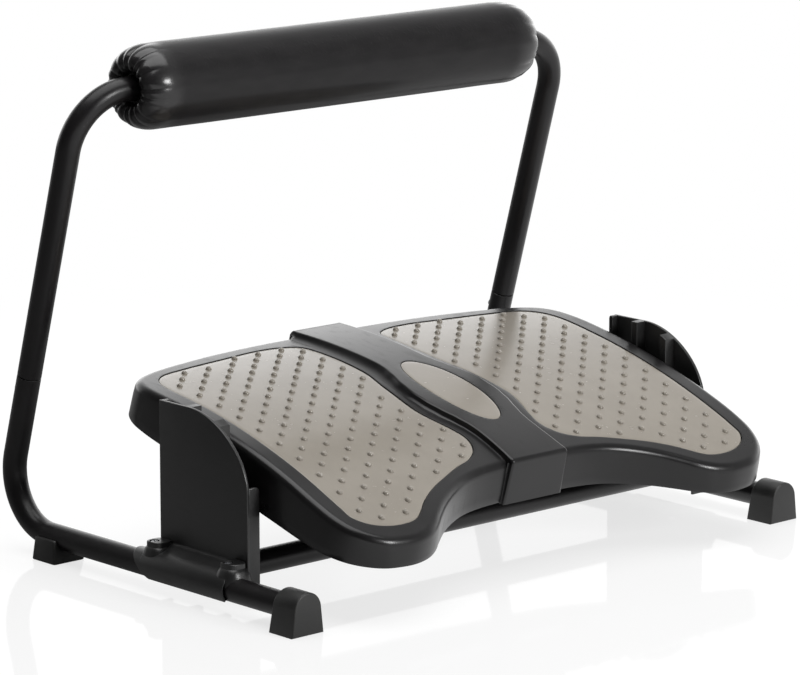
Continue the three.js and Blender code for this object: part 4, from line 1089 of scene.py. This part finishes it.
def cover_outline():
    """Half of the cover from its middle out: place along the bar and radius."""
    outline = [(x, cover_radius) for x in (0, 20, 40, 60, 80, 100, 115, 130, 142, 152, 160)]
    outline += [(x, cover_radius) for x in (166, 171, 175.5, 179.5, 183, 186, 189)]
    shoulder = roller_half - shoulder_length
    for step in range(1, 29):
        turn = math.pi / 2 * step / 28
        outline.append((shoulder + shoulder_length * math.sin(turn),
                        puff_radius + (cover_radius - puff_radius) * math.cos(turn)))
    for step in range(1, 15):
        turn = math.pi / 2 * step / 14
        outline.append((roller_half - dimple_depth + dimple_depth * math.cos(turn),
                        puff_radius - (puff_radius - hem_radius) * math.sin(turn)))
    outline += [(roller_half - dimple_depth - 1.2, hem_radius - 0.15),
                (roller_half - dimple_depth - 2.4, hem_radius + 0.5)]
    return outline


dice = random.Random(7)


def pleats_of(count):
    """Uneven pleats round an end: where each valley lies, how deep it is and how far it runs up the cover."""
    return [((step + dice.uniform(-pleat_scatter, pleat_scatter)) * 2 * math.pi / count,
             dice.uniform(*pleat_strengths), dice.uniform(*pleat_runs)) for step in range(count)]


def pleat_pull(pleats, angle, reach):
    """How far the surface is drawn in at an angle, reach millimetres up the cover's surface from the hem."""
    pull = 0.0
    for valley, strength, run in pleats:
        gap = abs((angle - valley + math.pi) % (2 * math.pi) - math.pi)
        half = math.pi / len(pleats) * pleat_overlap
        if gap < half:
            crease = (1 - gap / half) ** pleat_sharpness
            fade = 1 - smooth((reach - pleat_full) / run)
            pull = max(pull, crease * strength * fade)
    return pull * pleat_depth


outline = cover_outline()
lengths = [0.0]
for (x0, r0), (x1, r1) in zip(outline, outline[1:]):
    lengths.append(lengths[-1] + math.hypot(x1 - x0, r1 - r0))
rings = []
for sign in (-1, 1):
    pleats = pleats_of(pleats_each_end)
    end_rings = []
    for index, (x, radius) in enumerate(outline):
        before, after = outline[max(index - 1, 0)], outline[min(index + 1, len(outline) - 1)]
        run, rise = after[0] - before[0], after[1] - before[1]
        size = math.hypot(run, rise)
        normal = (-rise / size, run / size)
        reach = lengths[-1] - lengths[index]
        ring = []
        for angle in round_turns(around_cover):
            pull = pleat_pull(pleats, angle, reach) * smooth(reach / 9 + 0.25)
            slack = slow_slack * math.sin(3 * angle + 1.3 * sign) * math.sin(x / 31.0 + 0.7)
            slack += quick_slack * math.sin(5 * angle + x / 23.0)
            along = x - normal[0] * pull
            out = min(radius - normal[1] * pull + slack * smooth((slack_run - abs(reach - slack_run)) / slack_run),
                      cover_radius)
            ring.append(Vector((sign * along, bar_axis.y + out * math.cos(angle),
                                bar_axis.z + out * math.sin(angle))))
        end_rings.append(ring)
    rings.append(end_rings)
outside = list(reversed(rings[0])) + rings[1][1:]
lining = [(roller_half - dimple_depth - 2.6, hem_radius + 1.6), (roller_half - dimple_depth - 1.0, hem_radius + 3.2),
          (roller_half - 3.2, 20.5), (roller_half - 5.0, 25.0), (roller_half - 11.0, 29.5),
          (roller_half - 22.0, cover_radius - 2.4), (roller_half - 34.0, cover_radius - cover_thickness)]
lining_profile = lining + [(-along, radius) for along, radius in reversed(lining)]
cover = Shell()
cover.loft(outside + turned_about(bar_axis, lining_profile, around_cover), closed=True)

gloss_vinyl = Finish("gloss_black_vinyl", (0.008, 0.0075, 0.008), 0.4, Specular_IOR_Level=0.14, Coat_Roughness=0.2)
hide_grain = gloss_vinyl.node("ShaderNodeTexVoronoi", {}, {"Vector": gloss_vinyl.place, "Scale": 900.0}, "Distance")
pulled = gloss_vinyl.noise(9, 4.0, gloss_vinyl.stretched(0.35, 1.0, 1.0))
crinkle = gloss_vinyl.noise(3.2, 3.0, gloss_vinyl.stretched(1.0, 0.8, 0.8)).between(0.5, 0.72)
height = gloss_vinyl.part(gloss_vinyl.place, "Z")
along = gloss_vinyl.part(gloss_vinyl.place, "X")
upper = height.between(*[z / 1000 for z in crinkles_rise])
upper = upper * (1 - height.between(*[z / 1000 for z in crinkles_fade]))
gloss_vinyl.paint(pulled.between(0.3, 0.7), (0.006, 0.0054, 0.006), (0.0095, 0.0086, 0.0092))
gloss_vinyl.feed("Roughness", 0.42 + 0.12 * pulled)
shine = (along * along).between((shine_from / 1000) ** 2, (shine_full / 1000) ** 2)
gloss_vinyl.feed("Coat Weight", 0.26 + 0.6 * shine)
gloss_vinyl.relief(0.35 * hide_grain + 1.4 * pulled + upper * crinkle, 0.11)
cover_piece = cover.made("roller_vinyl_cover", gloss_vinyl, 70)
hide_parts("roller_cover")
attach(cover_piece, "roller")

# Draw cords: a thin braided polyester cord in each hem of the cover. It is drawn up and tied, and holds the
# gathers against the tube.
cord_ring = 11.65
cord_radius = 1.05
cord_place = 207.35
braid = Finish("black_braided_cord", (0.02, 0.02, 0.02), 0.8)
braid.relief(braid.noise(0.7, 2.0), 0.15)
for side, sign in both_sides:
    cord = Shell()
    section = [(cord_place + cord_radius * math.cos(turn), cord_ring + cord_radius * math.sin(turn))
               for turn in round_turns(14)]
    cord.loft(turned_about(bar_axis, section, 72), closed=True)
    cord_piece = cord.made(f"{side}_hem_cord", braid, 60, sign)
    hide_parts(f"{side}_draw_cord")
    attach(cord_piece, "roller")

# Couplers: short zinc plated steel sleeves inside the uprights, half in each tube. They line the seam up, and a
# screw from behind holds each.
coupler_radius = 8.2
coupler_bore = 7.0
coupler_half = 30.0
coupler_run_in = 0.6
coupler_end_radius = 7.8
zinc_plate = Finish("zinc_plated_steel", (0.42, 0.43, 0.45), 0.34, Metallic=1.0)
spangle = zinc_plate.noise(3.0, 4.0)
zinc_plate.paint(spangle.between(0.3, 0.7), (0.34, 0.35, 0.37), (0.46, 0.47, 0.48))
zinc_plate.feed("Roughness", 0.28 + 0.16 * spangle)
zinc_plate.relief(zinc_plate.noise(0.5, 2.0), 0.01)
for side, sign in both_sides:
    coupler = Shell()
    upper = [(coupler_radius, coupler_half - coupler_run_in), (coupler_end_radius, coupler_half),
             (coupler_bore, coupler_half)]
    section = [(radius, -z) for radius, z in reversed(upper)] + upper
    coupler.loft([[in_uprights(side_tube_x + radius * math.cos(turn), radius * math.sin(turn), seam_height + z)
                   for turn in round_turns(48)] for radius, z in section], closed=True)
    coupler_piece = coupler.made(f"{side}_upright_coupler", zinc_plate, 35, sign)
    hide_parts(f"{side}_coupler")
    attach(coupler_piece, "frame")

# Axle: a steel rod across the tread, with a moulded trunnion fixed on each end by a screw. The trunnions drop
# into the brackets' seats, and the tread's ribs turn on the rod.
axle_radius = 6.0
rod_half = 246.3
rod_chamfer = 0.7
trunnion_profile = ((238.4, 6.32), (238.0, 6.8), (238.0, 8.5), (238.5, 9.0), (239.5, 9.0), (239.5, 12.2),
                    (240.3, 13.0), (249.2, 13.0), (250.0, 12.2), (250.0, 4.6), (249.5, 4.1), (247.3, 4.1),
                    (247.3, 2.3), (246.6, 2.3), (246.6, 6.32))
rod = Shell()
rod_profile = [(-rod_half, axle_radius - rod_chamfer), (-rod_half + rod_chamfer, axle_radius),
               (rod_half - rod_chamfer, axle_radius), (rod_half, axle_radius - rod_chamfer)]
rod.loft(turned_about(axle_place, rod_profile, 56))
rod_piece = rod.made("axle_bar", zinc_plate, 35)
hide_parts("axle_rod")
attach(rod_piece, "axle")
for side, sign in both_sides:
    barrel = Shell()
    barrel.loft(turned_about(axle_place, trunnion_profile, 64), closed=True)
    barrel_piece = barrel.made(f"{side}_axle_barrel", moulded_black, 30, sign)
    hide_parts(f"{side}_trunnion")
    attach(barrel_piece, "axle")

# Clamp plates: two small pressed steel plates, zinc plated, under the tread. Two screws through each pull the
# bridge down on both halves.
clamp_half_width = 26.0
clamp_half_length = 9.0
clamp_thickness = 3.0
clamp_drop = 6.1
clamp_corner = 3.0
clamp_edge = 0.4
clamp_screw_x = 17.0
clamp_ys = {"front": -85.067, "rear": 100.0}


def under_crown(first, second, height):
    return on_tread(first, second, crown_at(second, height))


for end, clamp_y in clamp_ys.items():
    plate = Shell()
    corners = []
    for cx, cy, start in ((1, 1, 0), (-1, 1, 90), (-1, -1, 180), (1, -1, 270)):
        corners += arc((cx * (clamp_half_width - clamp_corner), clamp_y + cy * (clamp_half_length - clamp_corner)),
                       clamp_corner, start, start + 90, 6)
    plate.loft(slab_rings(corners, -clamp_drop - clamp_thickness, -clamp_drop, clamp_edge, under_crown, 2))
    plate_piece = plate.made(f"{end}_strap_clamp", zinc_plate, 35)
    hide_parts(f"{end}_clamp_plate")
    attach(plate_piece, "tread")

# Screws: zinc plated pan heads with a cross recess, all of one size. They hold the brackets to the tubes, the
# rear feet, the cross tube, the couplers, the trunnions and the clamp plates.
head_radius = 3.8
head_height = 2.4
shank_radius = 2.0
shank_length = 5.0
cross_arm = 2.0
cross_half_width = 0.48
foot_screw_y, foot_screw_z = 135.927, 5.0
cross_tube_screw_x, cross_tube_screw_z = 246.0, 15.8
axle_screw_x = 247.3
front_screw_turn, rear_screw_turn = 0.4, 1.1
coupler_screw_drop = 15.0
clamp_screw_lift = 0.3
screw_turns = [2 * math.pi * (step + 0.5) / 40 for step in range(40)]
screw_profile = ((1.2, -shank_length), (shank_radius, -shank_length + 0.8), (shank_radius, 0.0), (3.5, 0.0),
                 (head_radius, 0.25), (head_radius, 0.9), (3.5, 1.55), (2.9, 2.05), (2.3, 2.3))
screw_form = Shell()
rings = [[Vector((radius * math.cos(turn), radius * math.sin(turn), z)) for turn in screw_turns]
         for radius, z in screw_profile]
for shrink, z in ((1.0, head_height), (0.8, 1.2)):
    ring = []
    for turn in screw_turns:
        c, s = abs(math.cos(turn)), abs(math.sin(turn))
        reach = max(min(cross_arm / c, cross_half_width / s), min(cross_arm / s, cross_half_width / c))
        ring.append(Vector((reach * shrink * math.cos(turn), reach * shrink * math.sin(turn), z)))
    rings.append(ring)
screw_form.loft(rings)
screw_pattern = screw_form.made("screw_pattern", zinc_plate, 30)

screw_recipe = Recipe("screws_in_place", {"Screw": "NodeSocketObject", "Finish": "NodeSocketMaterial"})
given = screw_recipe.given
pattern = screw_recipe.node("GeometryNodeObjectInfo", {}, {"Object": given["Screw"]}, "Geometry")
turn = screw_recipe.node("GeometryNodeInputNamedAttribute", {"data_type": "FLOAT_VECTOR"}, {"Name": "turn"})
screw_recipe.close(screw_recipe.node("GeometryNodeInstanceOnPoints", {}, {
    "Points": given["Start"], "Instance": pattern, "Rotation": turn}))

screw_places = {"frame": [], "axle": [], "tread": []}
for side, sign in both_sides:
    x = sign * side_tube_x
    half_turn = (math.pi, 0, 0)
    screw_places["frame"] += [
        (f"{side}_front_bracket_screw", Vector((x, boss_ys[0], boss_top - boss_recess_depth)),
         (0, 0, front_screw_turn)),
        (f"{side}_rear_bracket_screw", Vector((x, boss_ys[1], boss_top - boss_recess_depth)),
         (0, 0, rear_screw_turn)),
        (f"{side}_foot_screw", Vector((x, foot_screw_y, foot_screw_z)), half_turn),
        (f"{side}_cross_tube_screw", Vector((sign * cross_tube_screw_x, cross_tube_y, cross_tube_screw_z)),
         half_turn),
        (f"{side}_coupler_screw", in_uprights(x, tube_radius, seam_height - coupler_screw_drop),
         (upright_lean - math.pi / 2, 0, 0))]
    screw_places["axle"].append(
        (f"{side}_axle_screw", axle_place + Vector((sign * axle_screw_x, 0, 0)), (0, sign * math.pi / 2, 0)))
    for end, clamp_y in clamp_ys.items():
        slope = math.asin((clamp_y + crown_apex_setback) / crown_radius)
        under = -clamp_drop - clamp_thickness - clamp_screw_lift
        place = on_tread(sign * clamp_screw_x, clamp_y + under * math.sin(slope),
                         crown_at(clamp_y) + under * math.cos(slope))
        screw_places["tread"].append(
            (f"{side}_{end}_clamp_screw", place, (tread_slope + math.pi - slope, 0, 0)))
for body, places in screw_places.items():
    start = bpy.data.meshes.new("screw_places")
    start.from_pydata([place / 1000 for _, place, _ in places], [], [])
    turns = [value for _, _, way in places for value in way]
    start.attributes.new("turn", "FLOAT_VECTOR", "POINT").data.foreach_set("vector", turns)
    screws = screw_recipe.run(f"{body}_screws", start, {"Screw": screw_pattern, "Finish": zinc_plate.material}, 30)
    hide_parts(*[node for node, _, _ in places])
    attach(screws, body)
bpy.data.objects.remove(screw_pattern)

# Studio: a white table with a faint gloss that melts into white away from the object, a surround that is bright
# behind and to the right and dim to the left, a large soft lamp overhead and a small one low in front.
table_glow = 0.74
mirror_dim = 0.13
mirror_bright = 0.95
mirror_share = 0.85
floor_mesh = bpy.data.meshes.new("studio_floor")
floor_mesh.from_pydata([(-9, -9, 0), (9, -9, 0), (9, 9, 0), (-9, 9, 0)], [], [(0, 1, 2, 3)])
floor = bpy.data.objects.new("studio_floor", floor_mesh)
bpy.context.collection.objects.link(floor)
table = Finish("white_table", (0.9, 0.9, 0.9), 0.05, IOR=1.3)
apart = table.node("ShaderNodeVectorMath", {"operation": "LENGTH"}, {"Vector": table.place}, "Value")
seen = table.node("ShaderNodeLightPath", {}, {}, "Is Camera Ray")
glow = table.node("ShaderNodeEmission", {}, {"Color": (1, 1, 1, 1)})
share = seen * (table_glow + (1 - table_glow) * apart.between(0.5, 1.1))
lit = Reading(table, table.shader.outputs[0])
mix = table.node("ShaderNodeMixShader", {}, {0: share, 1: lit, 2: glow})
# For glossy rays the table glows, bright towards the front right and dim elsewhere. This is a painted reflection that
# no lamp casts, and it shows in the object's gloss.
mirrored = table.node("ShaderNodeLightPath", {}, {}, "Is Glossy Ray")
towards_front_right = 0.55 * table.part(table.place, "X") - 0.85 * table.part(table.place, "Y")
mirror_level = mirror_dim + mirror_bright * towards_front_right.between(-0.2, 0.2)
mirror_glow = table.node("ShaderNodeEmission", {}, {"Color": (1, 1, 1, 1), "Strength": mirror_level})
mix = table.node("ShaderNodeMixShader", {}, {0: mirrored * mirror_share, 1: mix, 2: mirror_glow})
table.join(table.tree.nodes["Material Output"].inputs["Surface"], mix)
floor_mesh.materials.append(table.material)

dim_level = 0.08
right_level = 0.28
wall_level = 1.9
corner_level = 0.12
world = bpy.data.worlds.new("studio")
bpy.context.scene.world = world
room = Shading(world)
way = room.node("ShaderNodeTexCoord", {}, {}, "Generated")
east, north, height = room.part(way, "X"), room.part(way, "Y"), room.part(way, "Z")
low_down = 1 - height.between(0.1, 0.85)
behind = (0.67 * east + 0.74 * north).between(0.25, 0.9)
front_right = (0.75 * east - 0.66 * north).between(0.1, 0.95)
level = dim_level + right_level * east.between(0.0, 0.6)
level = level + low_down * (wall_level * behind + corner_level * front_right)
surround = room.node("ShaderNodeBackground", {}, {"Color": (1.0, 1.0, 1.0, 1), "Strength": level})
white = room.node("ShaderNodeBackground", {}, {"Color": (1, 1, 1, 1)})
seen = room.node("ShaderNodeLightPath", {}, {}, "Is Camera Ray")
mix = room.node("ShaderNodeMixShader", {}, {0: seen, 1: surround, 2: white})
room.join(room.tree.nodes["World Output"].inputs["Surface"], mix)


def softbox(name, place, target, width, height, watts, colour):
    data = bpy.data.lights.new(name, "AREA")
    data.shape = "RECTANGLE"
    data.size = width
    data.size_y = height
    data.energy = watts
    data.color = colour
    lamp = bpy.data.objects.new(name, data)
    lamp.location = place
    lamp.rotation_euler = (Vector(target) - Vector(place)).to_track_quat("-Z", "Y").to_euler()
    bpy.context.collection.objects.link(lamp)


middle = (0, 0, 0.2)
softbox("overhead_softbox", (-0.1, 0.0, 2.3), middle, 2.3, 2.1, 42, (1.0, 1.0, 1.0))
softbox("front_softbox", (0.38, -2.15, 0.95), middle, 0.55, 0.55, 28, (1.0, 1.0, 1.0))

camera_data = bpy.data.cameras.new("view_of_the_photograph")
camera_data.sensor_width = 36.0
camera_data.lens = 195.1
camera_data.clip_end = 50.0
camera = bpy.data.objects.new("view_of_the_photograph", camera_data)
azimuth, elevation = math.radians(-42.07), math.radians(11.74)
back = Vector((math.sin(azimuth) * math.cos(elevation), -math.cos(azimuth) * math.cos(elevation),
               math.sin(elevation)))
camera.location = (-2.3552, -2.5954, 0.8971)
camera.rotation_euler = back.to_track_quat("Z", "Y").to_euler()
bpy.context.collection.objects.link(camera)
bpy.context.scene.camera = camera
bpy.context.scene.view_settings.view_transform = "Standard"
